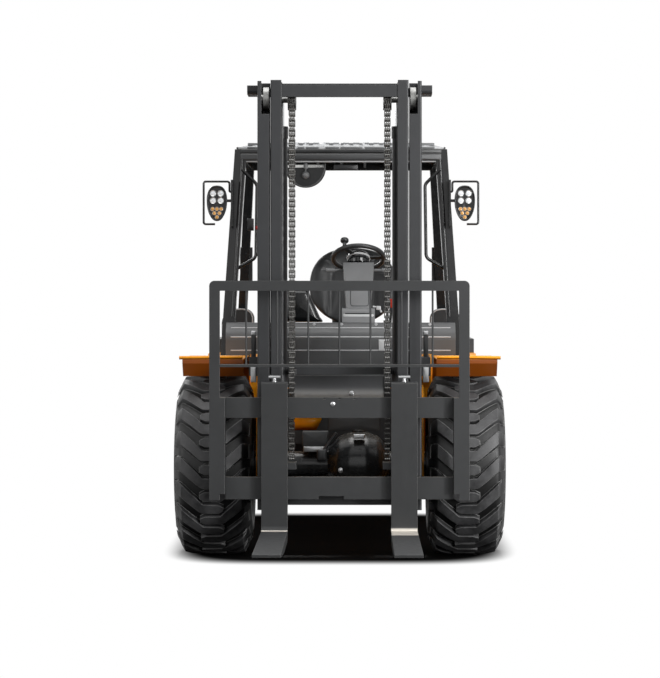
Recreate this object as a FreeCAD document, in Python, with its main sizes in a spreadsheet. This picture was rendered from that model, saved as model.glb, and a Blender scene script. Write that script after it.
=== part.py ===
# Rough terrain forklift with a two-stage mast, built as a parametric document.
# Millimetres; +Z up, the forks point along -Y, +X is the truck's left.
# Lengths along Y are counted from the front axle and moved to the overall centre at the end.
import FreeCAD, Part
import Sketcher
import math
import os
from types import SimpleNamespace
from FreeCAD import Placement, Rotation, Vector

doc = FreeCAD.newDocument("forklift")
sheet = doc.addObject("Spreadsheet::Sheet", "sizes")


class Size:
    """A length that knows both its number and the sheet expression it comes from."""

    def __init__(self, value, text):
        self.value = value
        self.text = text

    def combine(self, sign, left, right):
        left, right = size(left), size(right)
        value = {"+": lambda a, b: a + b, "-": lambda a, b: a - b,
                 "*": lambda a, b: a * b, "/": lambda a, b: a / b}[sign](left.value, right.value)
        return Size(value, f"({left.text} {sign} {right.text})")

    def __add__(self, other):
        return self.combine("+", self, other)

    def __radd__(self, other):
        return self.combine("+", other, self)

    def __sub__(self, other):
        return self.combine("-", self, other)

    def __rsub__(self, other):
        return self.combine("-", other, self)

    def __mul__(self, other):
        return self.combine("*", self, other)

    def __rmul__(self, other):
        return self.combine("*", other, self)

    def __truediv__(self, other):
        return self.combine("/", self, other)

    def __neg__(self):
        return self.combine("*", self, -1)


def size(value):
    return value if isinstance(value, Size) else Size(float(value), repr(float(value)))


# --- Driving sizes -----------------------------------------------------------------------------
CELLS = {
    # whole truck
    "wheelbase": 2000, "fork_face": 600, "rear_overhang": 580, "fork_length": 1070,
    "clearance": 5, "seat_gap": 0.3, "pin_gap": 0.05,
    # front wheels and axle
    "front_tyre_radius": 466.5, "front_tyre_width": 394, "front_track": 1290,
    "front_rim_radius": 230, "front_rim_width": 326, "front_spindle": 45,
    "axle_tube": 66, "axle_dome": 167, "dome_centre": 96,
    # rear wheels and steering
    "rear_tyre_radius": 380, "rear_tyre_width": 264, "rear_track": 1330,
    "rear_rim_radius": 194, "rear_rim_width": 220, "rear_spindle": 32,
    "kingpin_track": 1000, "kingpin": 24, "steer_arm": 100, "steer_rod": 16,
    # chassis
    "frame_gap": 6, "frame_plate": 25, "floor_level": 760, "floor_plate": 20,
    "engine_ahead": 560, "engine_length": 590,
    "deck_ahead": 506, "rail_past": 300,
    "fender_inner": 490, "fender_back": 500, "fender_skin": 6, "fender_top": 1022, "deck_rise": 1000,
    "grille_half": 280, "tow_bore": 16, "cowl_half": 612, "body_half": 800, "arch_level": 820,
    "tail_level": 1080, "tail_drop": 430,
    # mast
    "mast_top": 2415, "mast_foot": 270, "mast_front": 490, "channel_depth": 160,
    "mast_half": 411, "outer_wide": 60, "inner_wide": 54, "mast_gap": 6,
    "flange": 18, "web": 12, "roller_radius": 59, "roller_width": 28,
    "lift_bore": 32, "lift_wall": 8, "lift_rod": 24, "lift_offset": 39,
    "chain_offset": 51, "chain_width": 32, "chain_thick": 14, "sheave_radius": 44,
    "swing_pin": 30, "swing_rise": 110, "carrier_gap": 66, "rod_rise": 25,
    "tilt_pin": 14, "tilt_ear": 29, "pivot_back": 150, "pivot_level": 380, "pivot_pin": 25,
    "tilt_level": 985, "tilt_offset": 24, "tilt_barrel": 30, "tilt_rod": 16, "tilt_rear": 420,
    # carriage and forks
    "carriage_half": 567, "bar_thick": 38, "shank_thick": 50, "lower_bar": 329,
    "lower_bar_tall": 111, "upper_bar": 734, "upper_bar_tall": 102, "hook_lip": 14,
    "fork_width": 130, "fork_spread": 322, "fork_top": 914, "fork_under": 125, "fork_tip": 13,
    "hook_gap": 0.5, "backrest_half": 645, "backrest_post": 52, "backrest_thick": 25, "backrest_top": 1416,
    "wire": 5, "wire_pitch": 154, "wire_level": 988, "anchor_level": 510, "sheave_ahead": 65,
    "middle_tie": 940, "tie_reach": 115, "cheek_wide": 55, "lift_back": 46, "gland_level": 2200,
    "tilt_lug": 15, "tilt_length": 560, "column_lean": 28, "cover_length": 340, "hinge_level": 1026,
    "bar_notch": 75, "cover_inner": 512, "cover_outer": 700, "cover_top": 1262,
    # operator's place
    "cowl_front": 300, "cowl_rear": 470, "cowl_top": 1195, "cowl_foot": 971, "panel": 25,
    "guard_foot": 648, "guard_head": 578, "guard_level": 2067, "beam_tall": 70,
    "guard_front": 505, "guard_lean": 95, "guard_ahead": 380, "post_wide": 65, "post_deep": 80,
    "hood_half": 500, "hood_front": 800, "hood_ahead": 245, "hood_top": 1020,
    "rear_foot": 622, "rear_head": 560, "roof_pitch": 132, "lever_spread": 250, "lever_pitch": 70,
    "seat_front": 860, "seat_offset": 65, "seat_half": 250, "seat_top": 1622,
    "wheel_offset": 95, "wheel_level": 1545, "wheel_back": 640, "wheel_radius": 151,
}


def fill_sheet():
    for row, (alias, value) in enumerate(CELLS.items(), start=1):
        sheet.set(f"A{row}", alias)
        sheet.set(f"B{row}", str(value))
        sheet.setAlias(f"B{row}", alias)
    doc.recompute()
    return SimpleNamespace(**{name: Size(float(value), f"sizes.{name}") for name, value in CELLS.items()})


S = fill_sheet()
# sizes that follow from the ones above
S.outer_outer = S.mast_half
S.outer_inner = S.mast_half - S.outer_wide
S.inner_outer = S.outer_inner - S.mast_gap
S.inner_inner = S.inner_outer - S.inner_wide
S.lift_spread = S.inner_outer - S.lift_offset
S.chain_spread = S.inner_inner - S.chain_offset
S.tie_cheek = S.mast_half + S.cheek_wide
S.tilt_spread = S.mast_half + S.tilt_offset
S.frame_inner = S.mast_half - S.frame_gap
S.deck_level = S.floor_level - S.floor_plate
S.engine_back = S.wheelbase - S.engine_ahead
S.deck_front = S.wheelbase - S.deck_ahead
S.hood_rear = S.wheelbase - S.hood_ahead
S.guard_back = S.wheelbase - S.guard_ahead
S.rail_end = S.wheelbase + S.rail_past
# distance from the front axle to the middle of the overall length
MIDDLE = (S.wheelbase + S.rear_overhang - S.fork_face - S.fork_length) / 2


# --- Modelling helpers -------------------------------------------------------------------------
def bind(item, **values):
    """Set properties and bind each to its sheet expression; a_b means the path a.b."""
    for path, value in values.items():
        value = size(value)
        path = path.replace("_", ".")
        if "." not in path:
            setattr(item, path, value.value)
        item.setExpression(path, value.text)


def new_body(label):
    body = doc.addObject("PartDesign::Body", label)
    body.Label = label
    return body


def place(item, x=0, y=0, z=0):
    """Put a sub-part at x, y, z, with y counted from the front axle."""
    x, y, z = size(x), size(y) - MIDDLE, size(z)
    item.Placement = Placement(Vector(x.value, y.value, z.value), item.Placement.Rotation)
    bind(item, Placement_Base_x=x, Placement_Base_y=y, Placement_Base_z=z)
    return item


def corner_arc(before, corner, after, radius):
    """Anticlockwise arc tangent to both sides of a corner, with its ends in drawing order."""
    inward, outward = (before - corner).normalize(), (after - corner).normalize()
    half = math.acos(max(-1.0, min(1.0, inward.dot(outward)))) / 2
    centre = corner + (inward + outward).normalize() * (radius / math.sin(half))
    start = corner + inward * (radius / math.tan(half))
    end = corner + outward * (radius / math.tan(half))
    forward = inward.cross(outward).z < 0
    first, last = (start, end) if forward else (end, start)
    angles = [math.atan2(p.y - centre.y, p.x - centre.x) for p in (first, last)]
    return start, end, Part.ArcOfCircle(Part.Circle(centre, Vector(0, 0, 1), radius), *angles), forward


def draw(sketch, corners, closed=True):
    """Draw lines through corners (u, v) or (u, v, radius), each bound to the sheet."""
    items = [(size(c[0]), size(c[1]), size(c[2]) if len(c) > 2 else None) for c in corners]
    points = [Vector(u.value, v.value, 0) for u, v, radius in items]
    count = len(points)
    starts, ends, arcs = list(points), points[1:] + points[:1], {}
    for i, (u, v, radius) in enumerate(items):
        if radius:
            around = points[i - 1], points[i], points[(i + 1) % count]
            ends[i - 1], starts[i], *arcs[i] = corner_arc(*around, radius.value)
    sides = count if closed else count - 1
    lines = [sketch.addGeometry(Part.LineSegment(starts[i], ends[i])) for i in range(sides)]
    constraints, bindings = [], []

    def constrain(kind, *where, text=None):
        if text:
            bindings.append((f"Constraints[{len(constraints)}]", text))
        constraints.append(Sketcher.Constraint(kind, *where))

    for i, (u, v, radius) in enumerate(items):
        first, last = not closed and i == 0, not closed and i == count - 1
        before = None if first else lines[i - 1]
        after = None if last else lines[i]
        node = (before, 2) if last else (after, 1)
        if i in arcs:
            shape, forward = arcs[i]
            arc = sketch.addGeometry(shape)
            constrain("Tangent", before, 2, arc, 1 if forward else 2)
            constrain("Tangent", arc, 2 if forward else 1, after, 1)
            constrain("Radius", arc, radius.value, text=radius.text)
            node = (sketch.addGeometry(Part.Point(points[i]), True), 1)
            constrain("PointOnObject", *node, before)
            constrain("PointOnObject", *node, after)
        elif not (first or last):
            constrain("Coincident", before, 2, after, 1)
        constrain("DistanceX", -1, 1, *node, u.value, text=u.text)
        constrain("DistanceY", -1, 1, *node, v.value, text=v.text)
    sketch.addConstraint(constraints)
    for path, text in bindings:
        sketch.setExpression(path, text)


def new_sketch(body, plane, offset=0):
    """Empty sketch on the body's XY, XZ or YZ plane, moved along the plane's normal."""
    sketch = body.newObject("Sketcher::SketchObject", body.Name + "_sketch")
    support = next(f for f in body.Origin.OriginFeatures if f.Role == plane + "_Plane")
    sketch.AttachmentSupport = [(support, "")]
    sketch.MapMode = "FlatFace"
    offset = size(offset)
    sketch.AttachmentOffset = Placement(Vector(0, 0, offset.value), Rotation())
    sketch.setExpression("AttachmentOffset.Base.z", offset.text)
    return sketch


def slab(body, plane, low, high, corners):
    """Pad an outline from low to high along the axis that the plane leaves free."""
    sketch = new_sketch(body, plane, -size(high) if plane == "XZ" else low)
    draw(sketch, corners)
    pad = body.newObject("PartDesign::Pad", body.Name + "_pad")
    pad.Profile = sketch
    bind(pad, Length=size(high) - low)
    return pad


def cut(body, plane, low, high, corners):
    """Pocket an outline from high down to low along the free axis."""
    sketch = new_sketch(body, plane, -size(low) if plane == "XZ" else high)
    draw(sketch, corners)
    pocket = body.newObject("PartDesign::Pocket", body.Name + "_pocket")
    pocket.Profile = sketch
    bind(pocket, Length=size(high) - low)
    return pocket


def box(low, high):
    """Corners of a rectangle from its low and high (u, v) corners."""
    return [(low[0], low[1]), (high[0], low[1]), (high[0], high[1]), (low[0], high[1])]


def turn(body, plane, corners, axis):
    """Revolve an outline round the sketch's H_Axis or V_Axis."""
    sketch = new_sketch(body, plane)
    draw(sketch, corners)
    turned = body.newObject("PartDesign::Revolution", body.Name + "_turned")
    turned.Profile = sketch
    turned.ReferenceAxis = (sketch, [axis])
    turned.Angle = 360
    return turned


TURNS = {"X": Rotation(Vector(0, 1, 0), 90), "Y": Rotation(Vector(1, 0, 0), -90), "Z": Rotation()}


def bar(body, axis, at, radius, low, high, kind="Additive"):
    """Round bar (or bore, as Subtractive) along an axis; at gives the other two coordinates."""
    item = body.newObject(f"PartDesign::{kind}Cylinder", body.Name + "_round")
    first = {"X": (low, *at), "Y": (at[0], low, at[1]), "Z": (*at, low)}[axis]
    x, y, z = (size(v) for v in first)
    item.Placement = Placement(Vector(x.value, y.value, z.value), TURNS[axis])
    bind(item, Radius=radius, Height=size(high) - low,
         Placement_Base_x=x, Placement_Base_y=y, Placement_Base_z=z)
    return item


def bore(body, axis, at, radius, low, high):
    return bar(body, axis, at, radius, low, high, "Subtractive")


def loft(body, plane, sections):
    """Loft through (offset, corners) sections."""
    sketches = []
    for offset, corners in sections:
        sketches.append(new_sketch(body, plane, offset))
        draw(sketches[-1], corners)
    item = body.newObject("PartDesign::AdditiveLoft", body.Name + "_loft")
    item.Profile = sketches[0]
    item.Sections = sketches[1:]
    item.Ruled = True
    return item


def other_side(source, label):
    """The same piece on the other side of the truck."""
    item = doc.addObject("Part::Mirroring", label)
    item.Label = label
    item.Source = source
    item.Base = Vector(0, 0, 0)
    item.Normal = Vector(1, 0, 0)
    return item


def both_halves(label, half):
    """One symmetric piece from its +X half."""
    half.Label = label + "_half"
    item = doc.addObject("Part::MultiFuse", label)
    item.Label = label
    item.Shapes = [half, other_side(half, label + "_mirror")]
    item.Refine = True
    return item


def together(label, pieces):
    """Like pieces of one body that share a node and don't touch."""
    item = doc.addObject("Part::Compound", label)
    item.Label = label
    item.Links = pieces
    return item


def pair(label, body):
    """A left piece and its mirror image as one node."""
    body.Label = label + "_one"
    return together(label, [body, other_side(body, label + "_two")])


nodes = []


def keep(item):
    nodes.append(item)
    return item


# --- Wheels and axles --------------------------------------------------------------------------
def tyre(label, radius, width, rim_radius, rim_width):
    """Round-shouldered tyre about the X axis, centred on its middle plane."""
    body = new_body(label)
    half, bead = width / 2, rim_width / 2
    wall = radius - rim_radius
    seat = rim_radius + S.seat_gap
    right = [(bead, seat), (bead, rim_radius + 24), (half, rim_radius + wall * 0.34, 40),
        (half, radius - wall * 0.4, 60), (half - 34, radius - 8, 26), (half * 0.4, radius, 200)]
    left = [(-corner[0], *corner[1:]) for corner in reversed(right)]
    turn(body, "XY", right + left, "H_Axis")
    return body


def rim(label, radius, width, spindle, offset, hub_half):
    """Dished wheel: flanged well, disc at the given offset, hub with a running bore."""
    body = new_body(label)
    lip = radius + 18
    edge, skin = width / 2, 9
    hub = spindle + 28
    turn(body, "XY", [(-edge - skin, radius - skin), (offset - 7, radius - skin),
        (offset - 7, hub + 20, 12), (offset - 40, hub), (offset - hub_half, hub),
        (offset - hub_half, spindle + S.pin_gap), (offset + 45, spindle + S.pin_gap), (offset + 45, hub),
        (offset + 7, hub), (offset + 7, radius - skin), (edge + skin, radius - skin), (edge + skin, lip),
        (edge + S.seat_gap, lip), (edge + S.seat_gap, radius), (-edge - S.seat_gap, radius),
        (-edge - S.seat_gap, lip), (-edge - skin, lip)], "H_Axis")
    return body


def wheel_pair(prefix, track, level, back, radius, width, rim_radius, rim_width, spindle, offset, hub_half):
    """Tyre and rim of the left wheel, mirrored for the right one."""
    rubber = tyre(f"{prefix}_tyre_left", radius, width, rim_radius, rim_width)
    steel = rim(f"{prefix}_rim_left", rim_radius, rim_width, spindle, offset, hub_half)
    for name, left in (("tyre", rubber), ("rim", steel)):
        keep(place(left, track / 2, back, level))
        keep(other_side(left, f"{prefix}_{name}_right"))


def front_axle():
    half = new_body("front_axle_half")
    tube = S.axle_tube
    level = S.front_tyre_radius
    bar(half, "X", (0, level), tube, 0, S.frame_inner + S.frame_plate + 14)
    bar(half, "X", (0, level), 150, S.frame_inner + S.frame_plate + 12, 520)
    bar(half, "X", (0, level), S.front_spindle, 500, S.front_track / 2 + 120)
    return half


def axle_housing():
    """Driven front axle: tube, brake drums and spindles, with the offset differential housing."""
    body = both_halves("front_axle_beam", front_axle())
    dome = new_body("front_axle_dome")
    ball = S.axle_dome
    right = [(40, ball, 80), (110, ball - 27, 60), (160, S.axle_tube), (160, 0)]
    left = [(-corner[0], *corner[1:]) for corner in reversed(right)]
    turn(dome, "XY", left + right, "H_Axis")
    bar(dome, "Z", (0, 0), 34, ball * 0.9, ball + 8)
    bar(dome, "Y", (0, 0), 70, 120, 330)
    dome.Placement = Placement(Vector(S.dome_centre.value, 0, S.front_tyre_radius.value), Rotation())
    bind(dome, Placement_Base_x=S.dome_centre, Placement_Base_z=S.front_tyre_radius)
    item = doc.addObject("Part::MultiFuse", "front_axle")
    item.Label = "front_axle"
    item.Shapes = [body, dome]
    item.Refine = True
    keep(place(item))


def steer_axle():
    """Rear steering axle: forked beam hung on a lengthwise pin, with the double-ended cylinder."""
    half = new_body("steer_axle_half")
    level, back, king = S.rear_tyre_radius, S.wheelbase, S.kingpin_track / 2
    slab(half, "XZ", back - 60, back + 60, [
        (0, level - 50), (king - 130, level - 50, 30), (king - 95, level - 118), (king + 46, level - 118),
        (king + 46, level - 92), (king - 60, level - 92), (king - 60, level + 92), (king + 46, level + 92),
        (king + 46, level + 118), (king - 95, level + 118, 30), (king - 160, level + 60, 60),
        (110, level + 60, 60), (60, level + S.swing_rise + 40), (0, level + S.swing_rise + 40)])
    for low, high in ((-119, -91), (91, 119)):
        bore(half, "Z", (king, back), S.kingpin + S.pin_gap, level + low, level + high)
    # slot that the steering arm turns into
    cut(half, "XY", level - 30, level + 14, box((king - 125, back - 12), (king - 59, back + 61)))
    bar(half, "Y", (0, level + S.swing_rise), S.swing_pin, back - S.carrier_gap - 40,
        back + S.carrier_gap + 40)
    cylinder = (back + S.steer_arm, level + S.rod_rise)
    slab(half, "XZ", back + 58, back + 90, box((0, level - 10), (170, level + 55)))
    bar(half, "X", cylinder, 38, 0, 190)
    bore(half, "X", cylinder, 28, -1, 165)
    bore(half, "X", cylinder, S.steer_rod + S.pin_gap, 164, 191)
    keep(place(both_halves("rear_axle", half)))


def knuckle():
    """Steering knuckle: king pin, spindle and steering arm."""
    body = new_body("steer_knuckle_left")
    level, back, pin = S.rear_tyre_radius, S.wheelbase, S.kingpin_track / 2
    bar(body, "Z", (pin, back), 44, level - 91, level + 91)
    bar(body, "Z", (pin, back), S.kingpin, level - 124, level + 124)
    bar(body, "X", (back, level), S.rear_spindle + 14, pin, pin + 90)
    bar(body, "X", (back, level), S.rear_spindle, pin + 60, S.rear_track / 2 + 100)
    arm = S.steer_arm
    slab(body, "XY", level - 20, level + 4, [(pin - 30, back), (pin + 30, back),
        (pin + 22, back + arm + 22, 20), (pin - 22, back + arm + 22, 20)])
    keep(place(body))
    keep(other_side(body, "steer_knuckle_right"))


def steer_rod():
    """Rod that passes through the steering cylinder, with an eye over each steering arm."""
    half = new_body("steer_rod_half")
    level, back, king = S.rear_tyre_radius, S.wheelbase, S.kingpin_track / 2
    bar(half, "X", (back + S.steer_arm, level + S.rod_rise), S.steer_rod, 0, king - 15)
    bar(half, "Z", (king, back + S.steer_arm), 24, level + S.rod_rise - 18, level + S.rod_rise + 18)
    keep(place(both_halves("steer_rod", half)))


# --- Chassis -----------------------------------------------------------------------------------
def chassis_frame():
    """Two long side plates with mast horns, rear rails and the axle carrier."""
    half = new_body("chassis_frame_half")
    inner, outer = S.frame_inner, S.frame_inner + S.frame_plate
    pivot = (-S.pivot_back, S.pivot_level)
    rail, behind = S.arch_level, S.engine_back
    slab(half, "YZ", inner, outer, [(pivot[0] - 66, pivot[1] - 66, 65),
        (pivot[0] + 100, pivot[1] - 66, 40), (110, 330, 60), (640, 430, 60), (behind + 40, 430, 40),
        (behind + 40, rail, 40), (S.rail_end, rail), (S.rail_end, rail + 110), (behind, rail + 110, 30),
        (behind - 40, S.deck_level, 40), (490, S.deck_level, 30), (470, S.tilt_level - 125, 20),
        (-110, S.tilt_level - 105, 40), (pivot[0] - 66, pivot[1] + 120, 60)])
    bore(half, "X", pivot, S.pivot_pin + S.pin_gap, inner - 1, outer + 1)
    bore(half, "X", (0, S.front_tyre_radius), S.axle_tube + S.seat_gap, inner - 1, outer + 1)
    slab(half, "XY", rail, rail + 30, box((0, behind + 30), (inner, S.rail_end)))
    swing = S.rear_tyre_radius + S.swing_rise
    for low in (-S.carrier_gap - 28, S.carrier_gap):
        slab(half, "XZ", S.wheelbase + low, S.wheelbase + low + 28, [
            (0, swing - 44), (58, swing - 44, 43), (100, rail), (0, rail)])
    bore(half, "Y", (0, swing), S.swing_pin + S.seat_gap, S.wheelbase - S.carrier_gap - 60,
         S.wheelbase + S.carrier_gap + 60)
    rear, low_x, high_x = S.tilt_rear, S.tilt_spread - S.tilt_ear, S.tilt_spread + S.tilt_ear
    slab(half, "YZ", low_x - 12, high_x + 12, box((rear - 60, S.tilt_level - 135),
        (rear + 46, S.tilt_level - 75)))
    for low in (low_x - 12, high_x):
        slab(half, "YZ", low, low + 12, [(rear - 60, S.tilt_level - 76), (rear + 46, S.tilt_level - 76),
            (rear + 40, S.tilt_level + 36, 34), (rear - 34, S.tilt_level + 36, 34)])
    bar(half, "X", (rear, S.tilt_level), S.tilt_pin, low_x - 4, high_x + 18)
    keep(place(both_halves("chassis_frame", half)))


def bulkheads():
    """Cross walls between the frame's side plates."""
    edge = S.frame_inner - S.seat_gap
    walls = []
    places = ((150, 20, 560, 850), (760, 25, 460, S.deck_level - 140),
        (S.engine_back, 25, 450, S.deck_level - 5))
    for step, (front, thick, low, high) in enumerate(places):
        wall = new_body(f"frame_bulkhead_{step}")
        slab(wall, "XZ", front, front + thick, box((-edge, low), (edge, high)))
        walls.append(wall)
    keep(place(together("frame_bulkheads", walls)))


def floor_and_tanks():
    """Operator's floor, the two step tanks beside the frame and the heavy engine block."""
    floor = new_body("floor_plate")
    side = S.frame_inner + S.frame_plate
    edge, fore, aft = S.body_half - 30, S.fender_back + S.seat_gap, S.hood_front - S.clearance
    slab(floor, "XY", S.deck_level + S.seat_gap, S.floor_level,
        [(-edge, fore), (-side - 6, fore), (-side - 6, fore + 20), (side + 6, fore + 20),
        (side + 6, fore), (edge, fore), (edge, aft), (-edge, aft)])
    keep(place(floor))
    tank = new_body("step_tanks_left")
    low, high = 380, S.deck_level
    slab(tank, "XZ", 510, S.deck_front - 4, [(side, low), (S.body_half - 40, low, 30),
        (S.body_half - 10, low + 60, 30), (S.body_half - 10, high), (side, high)])
    cut(tank, "XZ", 600, 790, [(S.body_half - 170, low + 90), (S.body_half + 10, low + 90),
                               (S.body_half + 10, high - 40, 20), (S.body_half - 170, high - 40, 20)])
    keep(place(pair("step_tanks", tank)))
    engine = new_body("engine_block")
    slab(engine, "XY", 470, 930, box((-240, S.engine_back - S.engine_length),
        (240, S.engine_back - S.seat_gap)))
    keep(place(engine))


def fenders():
    """Front arches over the driven wheels and the rear decks over the steered ones."""
    arch = new_body("front_fenders_left")
    skin, crown = S.fender_skin, S.fender_top
    # a plain lip along the front edge, with a pan that leans back under it
    deck, rear = S.deck_level, S.fender_back
    over = [(-236, crown - 92), (-296, crown - 25), (-296, crown, 10), (310, crown, 60),
        (rear, deck + 60, 80), (rear, deck)]
    under = [(rear - skin, deck), (rear - skin, deck + 60, 76), (307, crown - skin, 56),
        (skin - 296, crown - skin, 4), (skin - 296, crown - 23), (skin * 0.75 - 236, crown - 88)]
    slab(arch, "YZ", S.fender_inner, S.body_half, over + under)
    slab(arch, "YZ", S.body_half - skin, S.body_half, over + [(rear - 30, deck),
        (rear - 30, deck + 50, 60), (297, crown - 30, 50), (-258, crown - 30), (-217.4, crown - 75.3)])
    keep(place(pair("front_fenders", arch)))
    box_deck = new_body("rear_fenders_left")
    low, high = S.arch_level, S.deck_rise
    inner, fore = S.hood_half + S.clearance, S.deck_front
    slab(box_deck, "YZ", inner, S.body_half - 20, [
        (fore, S.deck_level), (fore + 18, S.deck_level), (fore + 36, low, 40), (S.hood_rear + 10, low),
        (S.hood_rear + 10, high), (fore, high, 30)])
    keep(place(pair("rear_fenders", box_deck)))
    cover = new_body("side_covers_left")
    slab(cover, "XZ", fore + 6, fore + 88, [(S.cover_inner, high + S.seat_gap),
        (S.cover_outer, high + S.seat_gap), (S.cover_outer, S.cover_top, 90),
        (S.cover_inner, S.cover_top, 60)])
    keep(place(pair("side_covers", cover)))


def counterweight():
    """Cast tail weight with wheel arches, a radiator opening and a recess for the hitch."""
    half = new_body("counterweight_half")
    front, rear = S.hood_rear + 10 + S.seat_gap, S.wheelbase + S.rear_overhang
    top, low, tail = S.tail_level, S.arch_level + 112, S.tail_drop
    wide = S.body_half - 20
    slab(half, "XY", S.arch_level, top, [(0, front), (wide, front), (wide, rear - 150, 150),
                                       (wide - 170, rear, 260), (0, rear)])
    slab(half, "XY", tail, S.arch_level, [(0, rear - 110), (wide - 150, rear - 110, 20),
        (wide - 110, rear - 60, 30), (wide - 190, rear, 60), (0, rear)])
    cut(half, "XZ", front - 1, S.rail_end + 10, box((-1, S.arch_level - 1),
        (S.frame_inner + S.frame_plate + 2, low)))
    cut(half, "YZ", -1, wide + 1, [(rear - 190, top + 1), (rear + 1, top + 1), (rear + 1, top - 120)])
    cut(half, "XZ", S.rail_end + 10, rear + 1, box((-1, 600), (S.grille_half, 900)))
    cut(half, "XZ", rear - 100, rear + 1, box((-1, tail + 40), (90, 601)))
    # the tow pin is dropped in from above
    bore(half, "Z", (0, rear - 45), S.tow_bore + 6, 899, top + 1)
    keep(place(both_halves("counterweight", half)))
    slats = new_body("grille_half")
    edge = S.grille_half - S.seat_gap
    slab(slats, "XZ", rear - 162, rear - 130, box((edge - 16, 602), (edge, 898)))
    for step in range(8):
        level = 612 + step * 37
        slab(slats, "YZ", 0, edge - 8, [(rear - 164, level), (rear - 158, level),
            (rear - 118, level + 22), (rear - 124, level + 22)])
    keep(place(both_halves("radiator_grille", slats)))
    jaw = new_body("tow_hitch")
    wide = 90 - S.seat_gap
    slab(jaw, "XZ", rear - 100 + S.seat_gap, rear - S.seat_gap,
        box((-wide, tail + 40 + S.seat_gap), (wide, tail + 130 - S.seat_gap)))
    cut(jaw, "XZ", rear - 85, rear + 1, box((-wide - 1, tail + 62), (wide + 1, tail + 108)))
    bore(jaw, "Z", (0, rear - 45), S.tow_bore, tail, tail + 200)
    keep(place(jaw))


# --- Mast --------------------------------------------------------------------------------------
def channel(body, inner, outer, front, low, high):
    """C channel opening inwards, its web outside."""
    back = front + S.channel_depth
    slab(body, "XY", low, high, [(inner, front), (outer, front, 8), (outer, back, 8), (inner, back),
        (inner, back - S.flange), (outer - S.web, back - S.flange, 10),
        (outer - S.web, front + S.flange, 10), (inner, front + S.flange)])


def outer_mast():
    half = new_body("outer_mast_half")
    front, back = -S.mast_front, S.channel_depth - S.mast_front
    inner, outer, foot, top = S.outer_inner, S.outer_outer, S.mast_foot, S.mast_top
    channel(half, inner, outer, front, foot, top)
    cut(half, "XZ", front - 1, front + S.flange + 1, box((inner - 1, top - 165), (outer - 20, top + 1)))
    # rear ties: side cheeks reach back past the lift cylinders to a cross bar
    tie_front, tie_back = back + S.tie_reach - 25, back + S.tie_reach
    # the middle one is narrower, so the tilt cylinders pass it
    for low, high, reach in ((top - 60, top - 15, outer), (S.middle_tie, S.middle_tie + 50, outer - 14)):
        slab(half, "XY", low, high, box((0, tie_front), (reach, tie_back)))
        slab(half, "XY", low, high, box((outer - 40, back - 2), (reach, tie_front)))
    # anchors of the chains' back strands, on the middle tie
    slab(half, "XY", S.middle_tie, S.middle_tie + 25 - S.seat_gap,
         box((S.chain_spread - 18, back - 22), (S.chain_spread + 18, tie_front + 1)))
    slab(half, "YZ", outer, S.tie_cheek, [(back - 70, top - 60, 20), (tie_back, top - 60, 20),
        (tie_back, top - 15), (back - 70, top - 15)])
    # foot plate that carries the lift cylinders, between the channels and behind the inner mast
    slab(half, "XY", foot + 20, foot + 55, box((0, back + S.clearance), (outer, tie_back)))
    slab(half, "YZ", outer - 40, outer, box((back - 2, foot + 20), (back + S.clearance, foot + 55)))
    # pivot ears
    pivot = (-S.pivot_back, S.pivot_level)
    ear = S.frame_inner - S.clearance
    slab(half, "YZ", ear - 35, ear, [(back - 2, foot + 20), (back + 40, foot + 20, 30),
        (pivot[0] - 20, pivot[1] - 64, 40), (pivot[0] + 62, pivot[1] - 64, 62),
        (pivot[0] + 62, pivot[1] + 64, 62), (back + 90, pivot[1] + 70, 60), (back, 700), (back - 2, 700)])
    bar(half, "X", pivot, S.pivot_pin, ear - 1, S.frame_inner + S.frame_plate + 4)
    # clevis for the tilt cylinder, outside each channel
    at = (back - S.tilt_lug, S.tilt_level)
    for low in (S.tilt_spread - 22, S.tilt_spread + 12):
        slab(half, "YZ", low, low + 10, [(back - 60, at[1] - 48), (at[0] + 24, at[1] - 28, 20),
            (at[0] + 24, at[1] + 28, 20), (back - 60, at[1] + 48)])
    slab(half, "YZ", outer - 1, S.tilt_spread + 22, box((back - 72, at[1] - 48), (back - 58, at[1] + 48)))
    keep(place(both_halves("outer_mast", half)))


def mast_rollers():
    """Guide rollers: one pair at the top of the outer mast."""
    roller = new_body("outer_rollers_left")
    middle = S.channel_depth / 2 - S.mast_front
    low = S.outer_inner + 4
    level = S.mast_top - 85
    bar(roller, "X", (middle, level), S.roller_radius, low, low + S.roller_width)
    bar(roller, "X", (middle, level), 22, low + S.roller_width - 1, S.outer_outer - S.web - S.seat_gap)
    keep(place(pair("outer_mast_rollers", roller)))


def inner_mast():
    half = new_body("inner_mast_half")
    front, back = -S.mast_front, S.channel_depth - S.mast_front
    inner, outer, foot, top = S.inner_inner, S.inner_outer, S.mast_foot + 20, S.mast_top + 5
    channel(half, inner, outer, front, foot, top)
    slab(half, "XY", top - 84, top - 24, box((0, front + 6), (inner + 2, front + 36)))
    slab(half, "XY", top - 38, top - 8, box((0, back - 40), (inner + 2, back)))
    slab(half, "XY", foot, foot + 45, box((0, front + 65), (outer - S.web + 1, front + 130)))
    # lug over each lift rod
    slab(half, "XY", top - 50, top - 20, box((S.lift_spread - 40, back - 2),
        (S.lift_spread + 34, back + 84)))
    keep(place(both_halves("inner_mast", half)))
    roller = new_body("inner_rollers_left")
    middle = S.channel_depth / 2 - S.mast_front
    low = S.outer_inner + 4
    bar(roller, "X", (middle, foot + 90), S.roller_radius, low, low + S.roller_width)
    bar(roller, "X", (middle, foot + 90), 22, S.inner_outer + S.seat_gap, low + 1)
    keep(place(pair("inner_mast_rollers", roller)))


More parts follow.
